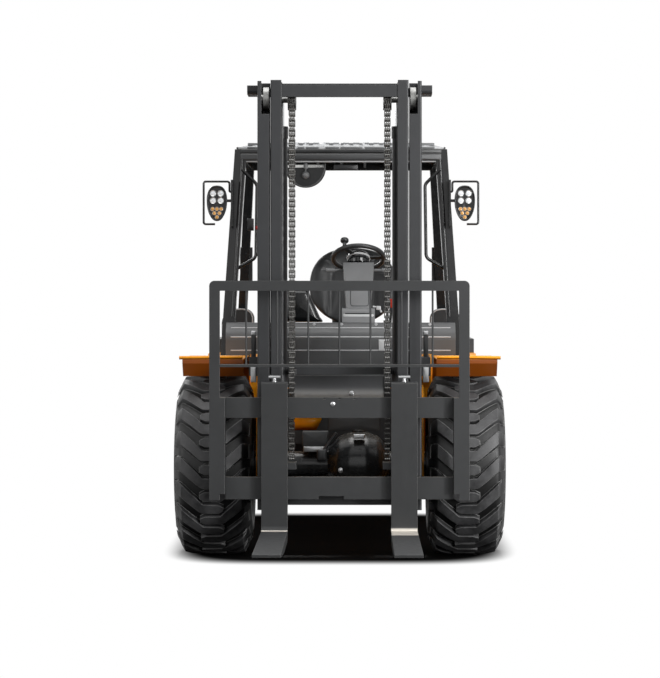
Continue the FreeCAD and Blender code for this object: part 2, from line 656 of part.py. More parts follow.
def lift_cylinders():
    """Barrels that stand on the outer mast's foot plate, and rods that raise the inner mast."""
    back = S.channel_depth - S.mast_front
    at = (S.lift_spread, back + S.lift_back)
    foot = S.mast_foot + 55 + S.seat_gap
    barrel = new_body("lift_barrels_left")
    gland = S.gland_level
    bar(barrel, "Z", at, S.lift_bore + S.lift_wall, foot, gland)
    bar(barrel, "Z", at, S.lift_bore + S.lift_wall + 4, gland - 60, gland)
    bore(barrel, "Z", at, S.lift_bore, foot + 30, gland - 50)
    bore(barrel, "Z", at, S.lift_rod + S.pin_gap, gland - 51, gland + 1)
    keep(place(pair("lift_barrels", barrel)))
    rod = new_body("lift_rods_left")
    bar(rod, "Z", at, S.lift_rod, foot + 60, S.mast_top + 5 - 50 - S.seat_gap)
    keep(place(pair("lift_rods", rod)))


def chains():
    """Sheaves on the inner mast with the plain front and back strands of each lift chain."""
    axle = (S.channel_depth - S.mast_front - S.sheave_ahead, S.mast_top - 88)
    run = S.sheave_radius + S.chain_thick / 2
    spread, half = S.chain_spread, S.chain_width / 2
    sheave = new_body("chain_sheaves_left")
    bar(sheave, "X", axle, S.sheave_radius, spread - half, spread + half)
    for low in (spread - half - 5, spread + half):
        bar(sheave, "X", axle, S.sheave_radius + 8, low, low + 5)
    bar(sheave, "X", axle, 15, spread + half + 4, S.inner_inner - S.seat_gap)
    keep(place(pair("chain_sheaves", sheave)))
    for name, middle, low in (("front", axle[0] - run, S.anchor_level),
            ("back", axle[0] + run, S.middle_tie + 25)):
        strand = new_body(f"lift_chains_{name}_left")
        thick = S.chain_thick / 2 - S.seat_gap
        slab(strand, "XY", low, axle[1], box((spread - half, middle - thick),
            (spread + half, middle + thick)))
        keep(place(pair(f"lift_chains_{name}", strand)))


def tilt_cylinders():
    """Tilt cylinder on each side: barrel pinned to the chassis, rod reaching to the mast."""
    rear, front = (S.tilt_rear, S.tilt_level), S.channel_depth - S.mast_front - S.tilt_lug
    spread = S.tilt_spread
    barrel = new_body("tilt_barrel_left")
    open_end, closed_end = S.tilt_rear - S.tilt_length, S.tilt_rear - 52
    bar(barrel, "X", rear, 27, spread - 25, spread + 25)
    slab(barrel, "XZ", closed_end - 2, S.tilt_rear - 15, box((spread - 14, S.tilt_level - 14),
        (spread + 14, S.tilt_level + 14)))
    bore(barrel, "X", rear, S.tilt_pin + S.pin_gap, spread - 26, spread + 26)
    bar(barrel, "Y", (spread, S.tilt_level), S.tilt_barrel, open_end, closed_end)
    bore(barrel, "Y", (spread, S.tilt_level), S.tilt_barrel - 7, open_end + 40, closed_end - 20)
    bore(barrel, "Y", (spread, S.tilt_level), S.tilt_rod + S.pin_gap, open_end - 1, open_end + 41)
    rod = new_body("tilt_rod_left")
    bar(rod, "Y", (spread, S.tilt_level), S.tilt_rod, front + 32, open_end + 200)
    slab(rod, "XZ", front + 21, front + 33, box((spread - 10, S.tilt_level - 11),
        (spread + 10, S.tilt_level + 11)))
    bar(rod, "X", (front, S.tilt_level), 24, spread - 11, spread + 11)
    bore(rod, "X", (front, S.tilt_level), S.tilt_pin + 5, spread - 12, spread + 12)
    for piece, name in ((barrel, "tilt_barrel_right"), (rod, "tilt_rod_right")):
        keep(place(piece))
        keep(other_side(piece, name))


# --- Carriage ----------------------------------------------------------------------------------
def carriage():
    half = new_body("carriage_half")
    front = S.shank_thick - S.fork_face
    back = front + S.bar_thick
    side = S.carriage_half
    low, high = S.lower_bar, S.upper_bar
    lip = S.hook_lip
    slab(half, "YZ", 0, side, [(front, high), (back, high), (back, high + S.upper_bar_tall - lip),
        (back - lip, high + S.upper_bar_tall - lip), (back - lip, high + S.upper_bar_tall),
        (front, high + S.upper_bar_tall)])
    slab(half, "YZ", 0, side, [(front, low), (back - lip, low), (back - lip, low + lip), (back, low + lip),
                             (back, low + S.lower_bar_tall), (front, low + S.lower_bar_tall)])
    # locking notches along the upper bar
    notch = S.bar_notch
    for low_x, high_x in ((-1, 6), (notch - 6, notch + 6), (S.fork_spread - 10, S.fork_spread + 10)):
        cut(half, "XZ", front - 1, back + 1, box((low_x, high + S.upper_bar_tall - 9),
            (high_x, high + S.upper_bar_tall + 1)))
    # side plates that reach back into the inner channels
    mast = -S.mast_front
    plate = S.inner_inner - S.clearance
    slab(half, "YZ", plate - 22, plate, [(front, low + 20), (mast + 110, low + 20, 30),
        (mast + 110, high - 30, 30), (mast - 6, high - 30, 8), (mast - 6, high + 80), (front, high + 80)])
    middle = S.channel_depth / 2 - S.mast_front
    for level in (S.lower_bar + 70, S.upper_bar - 74):
        bar(half, "X", (middle, level), S.roller_radius, plate + 12, plate + 12 + S.roller_width)
        bar(half, "X", (middle, level), 22, plate - 1, plate + 13)
    # anchor bracket under the chains' front strands
    chain_line = S.channel_depth + mast - S.sheave_ahead - S.sheave_radius - S.chain_thick / 2
    slab(half, "XY", S.anchor_level - 34, S.anchor_level - S.seat_gap,
        box((S.chain_spread - 24, front + 20), (plate - 21, chain_line + 16)))
    # cleaning notch in the lower bar, and one drilled hole beside the middle of the upper one
    opened = new_body("carriage_openings")
    slab(opened, "XZ", front - 1, back + 1, box((-105, low - 1), (22, low + 16)))
    bar(opened, "Y", (-34, high + 69), 11, front - 1, back + 1)
    keep(place(against("carriage", both_halves("carriage_bars", half), opened)))


def backrest():
    half = new_body("load_backrest_half")
    face, thick = -S.fork_face, S.backrest_thick
    side, post, top = S.backrest_half, S.backrest_post, S.backrest_top
    low = S.lower_bar
    slab(half, "XZ", face, face + thick, [(side - post, low), (side, low), (side, top, 26), (0, top),
        (0, top - 50), (side - post, top - 50)])
    slab(half, "XZ", face, face + thick, box((0, S.wire_level), (side - post + 1, S.wire_level + 14)))
    for step in range(4):
        x = S.wire_pitch * step
        bar(half, "Z", (x, face + thick / 2), S.wire, S.wire_level + 10, top - 48)
    back = face + S.shank_thick + S.bar_thick
    slab(half, "YZ", S.carriage_half + S.seat_gap, side - post + 1,
        box((face, low + 30), (back, S.upper_bar + S.upper_bar_tall)))
    keep(place(both_halves("load_backrest", half)))


def fork():
    """Tapered fork with an upset heel, hooked over both carriage bars."""
    body = new_body("fork_left")
    face, thick, wide = -S.fork_face, S.shank_thick, S.fork_width / 2
    tip, under = face - S.fork_length, S.fork_under
    gap, lip = S.hook_gap, S.hook_lip
    bar_back = face + thick + S.bar_thick
    bar_top = S.upper_bar + S.upper_bar_tall
    shank = face + thick - gap
    left, right = S.fork_spread - wide, S.fork_spread + wide
    slab(body, "YZ", left, right, [(tip, under + thick - S.fork_tip), (tip, under + thick),
        (face, under + thick, 24), (face, S.fork_top, 10), (shank, S.fork_top, 10), (shank, under, 62),
        (face - 480, under, 900)])
    # upper hook
    slab(body, "YZ", left + 8, right - 8, [(shank - 1, bar_top + gap),
        (bar_back - lip + gap, bar_top + gap), (bar_back - lip + gap, bar_top - lip + gap),
        (bar_back, bar_top - lip + gap), (bar_back, bar_top + 20, 10), (shank - 1, bar_top + 30)])
    low = S.lower_bar
    slab(body, "YZ", left + 8, right - 8, [
        (shank - 1, low - gap), (shank - 1, low - 26), (bar_back, low - 20, 8), (bar_back, low + lip - gap),
        (bar_back - lip + gap, low + lip - gap), (bar_back - lip + gap, low - gap)])
    # locking pin with its cross grip
    at = (S.fork_spread, face + thick / 2)
    bar(body, "Z", at, 8, S.fork_top - 1, S.fork_top + 24)
    bar(body, "X", (at[1], S.fork_top + 24), 8, S.fork_spread - 28, S.fork_spread + 28)
    keep(place(body))
    keep(other_side(body, "fork_right"))


# --- Operator's place --------------------------------------------------------------------------
def cowl():
    """Moulded dash cowl: faceted front, sloping top, open towards the operator's legs."""
    half = new_body("cowl_half")
    front, rear, top, foot, wall = S.cowl_front, S.cowl_rear, S.cowl_top, S.cowl_foot, S.panel
    side, crown, back, gap = S.cowl_half, S.fender_top, S.fender_back, S.seat_gap
    knee = S.floor_level + 140
    tunnel = S.tilt_spread - S.tilt_ear - 20
    slab(half, "YZ", 0, side, [(front, foot), (front - 12, top - 60, 60), (front + 60, top, 40),
        (rear, top, 20), (rear, top - wall), (front + 66, top - wall, 24), (front + 14, top - 76, 40),
        (front + wall, foot)])
    slab(half, "YZ", side - wall, side, [(front, foot), (front - 12, top - 60, 60), (front + 60, top, 40),
        (rear, top, 20), (rear + 20, 960, 40), (front + 100, foot)])
    slab(half, "YZ", side - 2 * wall, side - wall + 1, [(back + 8, S.floor_level + gap),
        (back + 48, S.floor_level + gap), (back + 48, knee, 60), (rear, top - 5), (rear - 70, top - 5),
        (back + 8, knee, 60)])
    slab(half, "XZ", front + 2, front + 20, box((0, 852), (tunnel, foot + 2)))
    cut(half, "XZ", front - 20, rear, box((tunnel, foot - 1),
        (S.tilt_spread + S.tilt_ear + 20, S.tilt_level + 45)))
    # the outer ends stand on the front fenders
    cut(half, "YZ", S.fender_inner - S.clearance, side + 1, [(front - 20, S.deck_level),
        (front - 20, crown + gap), (310.2, crown + gap, 60), (back + 0.5, S.deck_level + 60.3, 80),
        (back + 0.5, S.deck_level)])
    keep(place(both_halves("cowl", half)))


def lean_back(item, x, y, z, angle):
    """Place a sub-part and lean it back about X."""
    x, y, z = size(x), size(y) - MIDDLE, size(z)
    item.Placement = Placement(Vector(x.value, y.value, z.value),
        Rotation(Vector(-1, 0, 0), size(angle).value))
    bind(item, Placement_Base_x=x, Placement_Base_y=y, Placement_Base_z=z)
    item.setExpression("Placement.Rotation.Angle", f"{size(angle).text} * 1 deg")
    return item


def column():
    """Steering column cover on the cowl, with two stalks, the hand levers beside it and the pedals."""
    lean = math.radians(S.column_lean.value)
    slope = math.tan(lean)
    cover = new_body("steering_column")
    # foot cut level with the cowl's top
    slab(cover, "YZ", -88, 88, [(-70, -70 * slope), (12, 12 * slope), (66, 36), (66, 62, 8), (-70, 62, 30)])
    loft(cover, "XY", [(60, box((-64, -44), (64, 50))), (S.cover_length, box((-84, -52), (84, 44)))])
    rise = S.wheel_level - S.cowl_top - S.seat_gap
    shaft_end = rise / math.cos(lean) - 6 - S.seat_gap
    bar(cover, "Z", (0, 0), 22, S.cover_length - 1, shaft_end)
    stalks = (-12, S.cover_length - 26)
    bar(cover, "X", stalks, 7, -168, 168)
    for low in (-176, 128):
        bar(cover, "X", stalks, 11, low, low + 48)
    foot = S.wheel_back - rise * slope
    keep(lean_back(cover, S.wheel_offset, foot, S.cowl_top + S.seat_gap, S.column_lean))
    levers = []
    for step in range(3):
        lever = new_body(f"control_lever_{step}")
        x = S.lever_spread + step * S.lever_pitch
        bar(lever, "Z", (x, S.cowl_rear - 40), 6, S.cowl_top + S.seat_gap, S.cowl_top + 100)
        bar(lever, "Z", (x, S.cowl_rear - 40), 15, S.cowl_top + 84, S.cowl_top + 128)
        slab(lever, "XY", S.cowl_top + S.seat_gap, S.cowl_top + 12,
            box((x - 20, S.cowl_rear - 64), (x + 20, S.cowl_rear - 16)))
        levers.append(lever)
    keep(place(together("control_levers", levers)))
    pedals, floor = [], S.floor_level + S.seat_gap
    for step, (x, half) in enumerate(((-70, 32), (65, 38), (200, 38))):
        pedal = new_body(f"foot_pedal_{step}")
        slab(pedal, "YZ", x - half, x + half, [(604, floor), (622, floor), (552, floor + 102, 8),
            (536, floor + 92, 8)])
        pedals.append(pedal)
    keep(place(together("foot_pedals", pedals)))


def steering_wheel():
    """Rim, three spokes, hub and spinner knob, leaning with the column."""
    wheel = new_body("steering_wheel")
    ring = new_sketch(wheel, "XZ")
    radius, grip = S.wheel_radius - 13, 13
    ring.addGeometry(Part.Circle(Vector(radius.value, 0, 0), Vector(0, 0, 1), grip))
    ring.addConstraint([Sketcher.Constraint("Radius", 0, grip),
        Sketcher.Constraint("DistanceX", -1, 1, 0, 3, radius.value),
        Sketcher.Constraint("PointOnObject", 0, 3, -1)])
    ring.setExpression("Constraints[1]", radius.text)
    turned = wheel.newObject("PartDesign::Revolution", "steering_rim")
    turned.Profile = ring
    turned.ReferenceAxis = (ring, ["V_Axis"])
    turned.Angle = 360
    bar(wheel, "Z", (0, 0), 34, -26, 14)
    bore(wheel, "Z", (0, 0), 22 + S.pin_gap, -27, -6)
    slab(wheel, "XY", -5, 5, box((-radius, -13), (radius, 13)))
    slab(wheel, "XY", -5, 5, box((-13, -radius), (13, 0)))
    bar(wheel, "Z", (-72, radius * 0.87), 9, -2, 30)
    bar(wheel, "Z", (-72, radius * 0.87), 21, 26, 62)
    keep(lean_back(wheel, S.wheel_offset, S.wheel_back, S.wheel_level, S.column_lean))


def overhead_guard():
    """Four leaning posts, roof frame with lengthwise bars, lamp guards and grab handles."""
    half = new_body("overhead_guard_half")
    wide, deep = S.post_wide, S.post_deep
    level, tall = S.guard_level, S.beam_tall
    foot, head = S.guard_foot, S.guard_head
    front, top = S.guard_front, S.guard_front + S.guard_lean
    loft(half, "XY", [(S.floor_level + S.seat_gap, box((foot + 22 - wide, front),
        (foot + 22, front + deep))), (level + tall, box((head - wide, top), (head, top + deep)))])
    rear = S.guard_back
    loft(half, "XY", [(S.deck_rise + S.seat_gap, box((S.rear_foot - 52, rear), (S.rear_foot, rear + 60))),
                      (level + tall, box((S.rear_head - 52, rear - 130), (S.rear_head, rear - 70)))])
    slab(half, "XZ", top, top + deep, [(0, level), (head - 10, level), (head, level + 20),
        (head, level + tall, 30), (0, level + tall)])
    slab(half, "XZ", rear - 130, rear - 70, box((0, level), (S.rear_head, level + tall)))
    slab(half, "YZ", head - 60, head - 20, box((top + 20, level), (rear - 80, level + tall)))
    for step in range(4):
        x = S.roof_pitch * step
        slab(half, "YZ", x - 7 if step else 0, x + 7, box((top + 60, level + 12), (rear - 80, level + 62)))
    keep(place(both_halves("overhead_guard", half)))
    return half


def roof_cover():
    """Thin crowned cover over the guard's bars."""
    half = new_body("roof_cover_half")
    low = S.guard_level + S.beam_tall + S.seat_gap
    front, rear = S.guard_front + S.guard_lean + 10, S.guard_back - 70
    slab(half, "XZ", front, rear, [(0, low + 42), (0, low + 50), (300, low + 48, 300),
        (S.guard_head - 30, low + 26, 60), (S.guard_head - 8, low), (S.guard_head - 18, low),
        (S.guard_head - 34, low + 18, 52), (298, low + 40, 292)])
    keep(place(both_halves("roof_cover", half)))


def bent_tube(label, radius, plane_y, corners):
    """Round tube along a planar route of straight runs and bends in the XZ plane."""
    guide = new_body(label + "_route")
    route = new_sketch(guide, "XZ", -size(plane_y))
    draw(route, corners, closed=False)
    ring = doc.addObject("Part::Circle", label + "_ring")
    (x0, z0), (x1, z1) = ((size(c[0]), size(c[1])) for c in corners[:2])
    along = Vector(x1.value - x0.value, 0, z1.value - z0.value)
    ring.Placement = Placement(Vector(x0.value, size(plane_y).value, z0.value),
        Rotation(Vector(0, 0, 1), along))
    bind(ring, Radius=radius, Placement_Base_x=x0, Placement_Base_y=plane_y, Placement_Base_z=z0)
    tube = doc.addObject("Part::Sweep", label)
    tube.Sections = [ring]
    tube.Spine = (route, [f"Edge{i + 1}" for i in range(2 * len(corners) - 3)])
    tube.Solid = True
    tube.Frenet = False
    return tube


def against(label, piece, post):
    """A piece trimmed where it meets the guard's post."""
    item = doc.addObject("Part::Cut", label)
    item.Label = label
    item.Base = piece
    item.Tool = post
    return item


def handles_and_guards(post):
    """Bent grab handles inside the front posts and the wire guards round the headlamps."""
    y = S.guard_front + S.guard_lean - 10
    tube = bent_tube("handle_tube", 9, y, [(540, 2026), (457, 1945, 40), (463, 1545, 40), (580, 1478)])
    handle = against("grab_handle", tube, post)
    keep(place(together("grab_handles", [handle, other_side(handle, "grab_handle_two")])))
    y = S.guard_front + 30
    wire = bent_tube("guard_wire", 6, y, [(590, 1902), (604, 1902, 8), (604, 1958, 12), (744, 1958, 12),
        (744, 1727, 12), (682, 1727)])
    plate = new_body("guard_plate")
    slab(plate, "YZ", 585, 595, box((S.guard_front - 10, 1714), (S.guard_front + 100, 1966)))
    welded = doc.addObject("Part::MultiFuse", "lamp_guard_welded")
    welded.Shapes = [wire, plate]
    guard = against("lamp_guard", welded, post)
    keep(place(together("lamp_guards", [guard, other_side(guard, "lamp_guard_two")])))


def lamps(post):
    """Headlamps on brackets beside the front posts, and tail lamps on the rear posts."""
    head = new_body("headlamps_left")
    y = S.guard_front + 10
    slab(head, "XZ", y - 60, y, [(630, 1740, 30), (692, 1740, 30), (722, 1870, 60), (716, 1930, 36),
        (618, 1930, 36), (610, 1870, 60)])
    bar(head, "X", (y - 8, 1835), 8, 595 + S.seat_gap, 640)
    keep(place(pair("headlamps", head)))
    block = new_body("tail_lamp_block")
    rear = S.guard_back - 20
    slab(block, "XZ", rear, rear + 56, box((S.rear_foot - 96, 1420), (S.rear_foot - 24, 1620)))
    tail = against("tail_lamp", block, post)
    keep(place(together("tail_lamps", [tail, other_side(tail, "tail_lamp_two")])))


def mirror():
    """Half-round mirror that hangs on a stem from the front roof beam."""
    body = new_body("interior_mirror")
    x, level, y = -193, S.guard_level - 28, S.guard_front + S.guard_lean + 50
    radius = 110
    slab(body, "XZ", y - 10, y + 10, [(x - radius, level), (x + radius, level),
        (x + radius, level - radius, radius - 1), (x - radius, level - radius, radius - 1)])
    bar(body, "Z", (x, y), 6, level - 40, S.guard_level - S.seat_gap)
    keep(place(body))


# --- Hood and seat -----------------------------------------------------------------------------
def hood():
    """Engine hood: pressed cover with thick insulated walls, open underneath."""
    half = new_body("hood_half")
    side, front, rear, top, wall = S.hood_half, S.hood_front, S.hood_rear, S.hood_top, S.panel
    low = S.deck_level + S.seat_gap
    slab(half, "YZ", 0, side, [(front, low), (front, top - 60, 10), (front + 60, top, 60),
        (rear, top, 20), (rear, low)])
    cut(half, "YZ", -1, side - wall, [(front + wall, low - 1), (front + wall, top - 70),
        (front + 74, top - wall, 40), (rear - wall, top - wall), (rear - wall, low - 1)])
    cut(half, "YZ", -1, side + 1, box((rear - wall - 1, low - 1), (rear + 1, S.arch_level + 125)))
    # hinge barrels along the rear edge
    for low_x in (180, 380):
        bar(half, "X", (rear - 10, S.hinge_level), 11, low_x, low_x + 70)
    keep(place(both_halves("hood", half)))


def seat():
    """Seat on the hood: sprung base, back shell, and plain cushions for the soft parts."""
    x, top = S.seat_offset, S.hood_top
    front, wide = S.seat_front, S.seat_half
    base = new_body("seat_frame")
    slab(base, "XY", top + S.seat_gap, top + 40, [(x - 200, front + 40, 20), (x + 200, front + 40, 20),
        (x + 200, front + 430, 20), (x - 200, front + 430, 20)])
    slab(base, "YZ", x - wide + 30, x + wide - 30, [(front + 421, top + 20), (front + 470, top + 20, 20),
        (front + 560, S.seat_top - 40, 8), (front + 521.4, S.seat_top - 40, 8), (front + 421, top + 60)])
    keep(place(base))
    cushion = new_body("seat_cushion")
    slab(cushion, "XY", top + 40 + S.seat_gap, top + 150, [(x - wide + 10, front, 60),
        (x + wide - 10, front, 60), (x + wide - 10, front + 410, 40), (x - wide + 10, front + 410, 40)])
    keep(place(cushion))
    back = new_body("seat_back")
    slab(back, "YZ", x - wide, x + wide, [(front + 318, top + 153), (front + 439, top + 153),
        (front + 529, S.seat_top, 40), (front + 440, S.seat_top, 40), (front + 400, S.seat_top - 100, 60)])
    keep(place(back))


def build():
    wheel_pair("front", S.front_track, S.front_tyre_radius, 0, S.front_tyre_radius, S.front_tyre_width,
               S.front_rim_radius, S.front_rim_width, S.front_spindle, 60, 95)
    wheel_pair("rear", S.rear_track, S.rear_tyre_radius, S.wheelbase, S.rear_tyre_radius, S.rear_tyre_width,
               S.rear_rim_radius, S.rear_rim_width, S.rear_spindle, 45, 60)
    axle_housing()
    steer_axle()
    knuckle()
    steer_rod()
    chassis_frame()
    bulkheads()
    floor_and_tanks()
    fenders()
    counterweight()
    outer_mast()
    mast_rollers()
    inner_mast()
    lift_cylinders()
    chains()
    tilt_cylinders()
    carriage()
    backrest()
    fork()
    cowl()
    column()
    steering_wheel()
    post = overhead_guard()
    roof_cover()
    handles_and_guards(post)
    lamps(post)
    mirror()
    hood()
    seat()


def write_parts():
    """Recompute, check every object and write one STEP file per node."""
    doc.recompute()
    for item in doc.Objects:
        if any(word in item.State for word in ("Invalid", "Error")):
            raise RuntimeError(f"{item.Label} is {item.State}")
    os.makedirs("parts", exist_ok=True)
    for item in nodes:
        if item.Shape.isNull() or not item.Shape.isValid():
            raise RuntimeError(f"{item.Label} has no valid shape")
        item.Shape.exportStep(f"parts/{item.Label}.step")


build()
write_parts()
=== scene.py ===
import bpy
import math
import numpy as np
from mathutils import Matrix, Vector


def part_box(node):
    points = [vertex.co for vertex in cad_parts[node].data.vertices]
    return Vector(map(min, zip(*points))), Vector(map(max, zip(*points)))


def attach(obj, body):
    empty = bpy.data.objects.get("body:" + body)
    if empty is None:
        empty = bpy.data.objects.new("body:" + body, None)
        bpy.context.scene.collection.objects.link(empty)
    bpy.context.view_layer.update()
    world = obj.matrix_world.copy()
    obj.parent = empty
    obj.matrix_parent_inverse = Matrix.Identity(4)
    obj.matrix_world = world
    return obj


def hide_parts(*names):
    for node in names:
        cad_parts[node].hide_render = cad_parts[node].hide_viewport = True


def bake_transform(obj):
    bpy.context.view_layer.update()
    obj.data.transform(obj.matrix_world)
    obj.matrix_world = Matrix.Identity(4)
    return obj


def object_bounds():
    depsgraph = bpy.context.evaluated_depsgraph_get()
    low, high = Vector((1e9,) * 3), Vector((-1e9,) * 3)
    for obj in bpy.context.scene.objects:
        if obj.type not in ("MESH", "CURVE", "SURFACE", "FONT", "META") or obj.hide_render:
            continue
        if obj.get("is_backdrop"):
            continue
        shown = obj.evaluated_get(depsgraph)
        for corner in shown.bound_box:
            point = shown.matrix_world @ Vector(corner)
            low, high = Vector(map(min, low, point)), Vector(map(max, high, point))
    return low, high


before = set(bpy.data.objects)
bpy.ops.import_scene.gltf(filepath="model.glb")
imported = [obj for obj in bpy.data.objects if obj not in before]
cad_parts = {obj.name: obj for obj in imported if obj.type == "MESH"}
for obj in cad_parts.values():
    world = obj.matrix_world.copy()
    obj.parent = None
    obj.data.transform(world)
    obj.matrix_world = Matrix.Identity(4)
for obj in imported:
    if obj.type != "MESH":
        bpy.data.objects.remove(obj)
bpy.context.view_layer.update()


# --- Studio ------------------------------------------------------------------------------------
# A pale studio floor and a white backdrop, with a long lens at a standing worker's eye height
# twelve metres in front of the forks, so that upright steel stays upright in the picture.
def linear(code, share=1.0):
    """sRGB hex to linear RGBA: each channel is divided by 12.92 near black, else raised to 2.4,
    and then scaled by the share."""
    srgb = np.array([int(code[i:i + 2], 16) for i in (1, 3, 5)]) / 255
    rgb = np.where(srgb <= 0.04045, srgb / 12.92, ((srgb + 0.055) / 1.055) ** 2.4)
    return (*(share * rgb).tolist(), 1.0)


def add(tree, kind, settings=None, **inputs):
    """Add a node, set its properties and fill its inputs with values or links from sockets. An
    input is named with _ for a space, or i and its number."""
    node = tree.nodes.new(kind)
    for name, value in (settings or {}).items():
        setattr(node, name, value)
    for name, value in inputs.items():
        numbered = name[0] == "i" and name[1:].isdigit()
        socket = node.inputs[int(name[1:]) if numbered else name.replace("_", " ")]
        if isinstance(value, bpy.types.NodeSocket):
            tree.links.new(value, socket)
        else:
            socket.default_value = value
    return node


def new_material(name):
    """An empty node material: itself, its tree, its output node and the object-space position."""
    material = bpy.data.materials.new(name)
    material.use_nodes = True
    tree = material.node_tree
    tree.nodes.clear()
    return material, tree, add(tree, "ShaderNodeOutputMaterial"), add(tree,
        "ShaderNodeTexCoord").outputs["Object"]


scene = bpy.context.scene
scene.view_settings.view_transform = "Standard"
eye = bpy.data.objects.new("camera", bpy.data.cameras.new("camera"))
scene.collection.objects.link(eye)
scene.camera = eye
eye.data.lens, eye.data.sensor_width = 128.7, 36.0
eye.data.clip_start, eye.data.clip_end = 0.5, 120.0
eye.location = (0.0865, -13.055, 1.37)
eye.rotation_euler = (math.radians(90), 0, math.radians(0.41))
eye.data.shift_x, eye.data.shift_y = -9.5 / 678, -49 / 678


def softbox(name, place, aim, width, height, watts):
    """A rectangular studio lamp at place, turned to face aim."""
    lamp = bpy.data.objects.new(name, bpy.data.lights.new(name, "AREA"))
    lamp.data.shape = "RECTANGLE"
    lamp.data.size, lamp.data.size_y, lamp.data.energy = width, height, watts
    lamp.location = place
    lamp.rotation_euler = (Vector(aim) - Vector(place)).to_track_quat("-Z", "Y").to_euler()
    scene.collection.objects.link(lamp)
    return lamp


key = softbox("key_softbox", (3.1, -4.8, 3.3), (0, 0, 1.2), 2.2, 2.2, 190)
fill = softbox("fill_softbox", (-6.5, -6.0, 3.2), (0, 0, 1.0), 3.0, 4.0, 110)
overhead = softbox("overhead_softbox", (0, 0.5, 7.0), (0, 0, 0.8), 5.0, 6.0, 310)
back = softbox("back_softbox", (-3.5, 8.5, 4.5), (0, 0, 1.2), 3.0, 3.0, 240)
side_glow = softbox("low_softbox", (5.4, -6.2, 1.0), (0.3, -0.6, 0.7), 1.0, 1.6, 280)
ground = softbox("floor_softbox", (0, 4.2, 7.5), (0, 1.0, 0), 2.4, 2.4, 6600)

world = bpy.data.worlds.new("studio_white")
scene.world = world
world.use_nodes = True
tree = world.node_tree
tree.nodes.clear()
path = add(tree, "ShaderNodeLightPath")
direct = add(tree, "ShaderNodeMath", {"operation": "MAXIMUM"}, i0=path.outputs["Is Camera Ray"],
             i1=path.outputs["Is Transmission Ray"])
seen = add(tree, "ShaderNodeMath", {"operation": "MAXIMUM"}, i0=direct.outputs[0],
    i1=path.outputs["Is Glossy Ray"])
strength = add(tree, "ShaderNodeMapRange", Value=seen.outputs[0], To_Min=0.18, To_Max=1.0)
white = add(tree, "ShaderNodeBackground", Color=(1, 1, 1, 1), Strength=strength.outputs[0])
add(tree, "ShaderNodeOutputWorld", Surface=white.outputs[0])

# The floor is grey board under its own lamp near the truck, where it takes the shadow and
# renders white in the open, and plain white beyond.
material, tree, out, place = new_material("painted_studio_board")
moved = add(tree, "ShaderNodeVectorMath", {"operation": "SUBTRACT"}, i0=place, i1=(0.0, 0.44, 0.0))
squeeze = add(tree, "ShaderNodeVectorMath", {"operation": "MULTIPLY"}, i0=moved.outputs[0],
    i1=(1.11, 0.72, 0.0))
apart = add(tree, "ShaderNodeSeparateXYZ", Vector=add(tree, "ShaderNodeVectorMath", {"operation": "ABSOLUTE"},
                                                     i0=squeeze.outputs[0]).outputs[0])
fourth = [add(tree, "ShaderNodeMath", {"operation": "POWER"}, i0=apart.outputs[axis],
    i1=5.0).outputs[0] for axis in "XY"]
reach = add(tree, "ShaderNodeMath", {"operation": "ADD"}, i0=fourth[0], i1=fourth[1])
away = add(tree, "ShaderNodeMapRange", {"interpolation_type": "SMOOTHSTEP"}, Value=reach.outputs[0],
    From_Min=0.45, From_Max=1.25)
path = add(tree, "ShaderNodeLightPath")
hidden = add(tree, "ShaderNodeMath", {"operation": "MULTIPLY"}, i0=away.outputs[0],
    i1=path.outputs["Is Camera Ray"])
board = add(tree, "ShaderNodeBsdfDiffuse", Color=linear("#4C4C4C"))
plain = add(tree, "ShaderNodeEmission", Color=(1, 1, 1, 1))
mixed = add(tree, "ShaderNodeMixShader", Fac=hidden.outputs[0], i1=board.outputs[0], i2=plain.outputs[0])
tree.links.new(mixed.outputs[0], out.inputs["Surface"])
floor = bpy.data.objects.new("studio_floor", bpy.data.meshes.new("studio_floor"))
floor.data.from_pydata([(-60, -40, 0), (60, -40, 0), (60, 80, 0), (-60, 80, 0)], [], [(0, 1, 2, 3)])
floor.data.materials.append(material)
scene.collection.objects.link(floor)
floor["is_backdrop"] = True
# the truck's softboxes are flagged off the floor, which has one of its own, so the shadow stays deep
for title, lamps, state in (("flagged_floor", (key, fill, overhead, back, side_glow), "EXCLUDE"),
        ("lit_floor", (ground,), "INCLUDE")):
    group = bpy.data.collections.new(title)
    group.objects.link(floor)
    for lamp in lamps:
        lamp.light_linking.receiver_collection = group
    group.collection_objects[0].light_linking.link_state = state


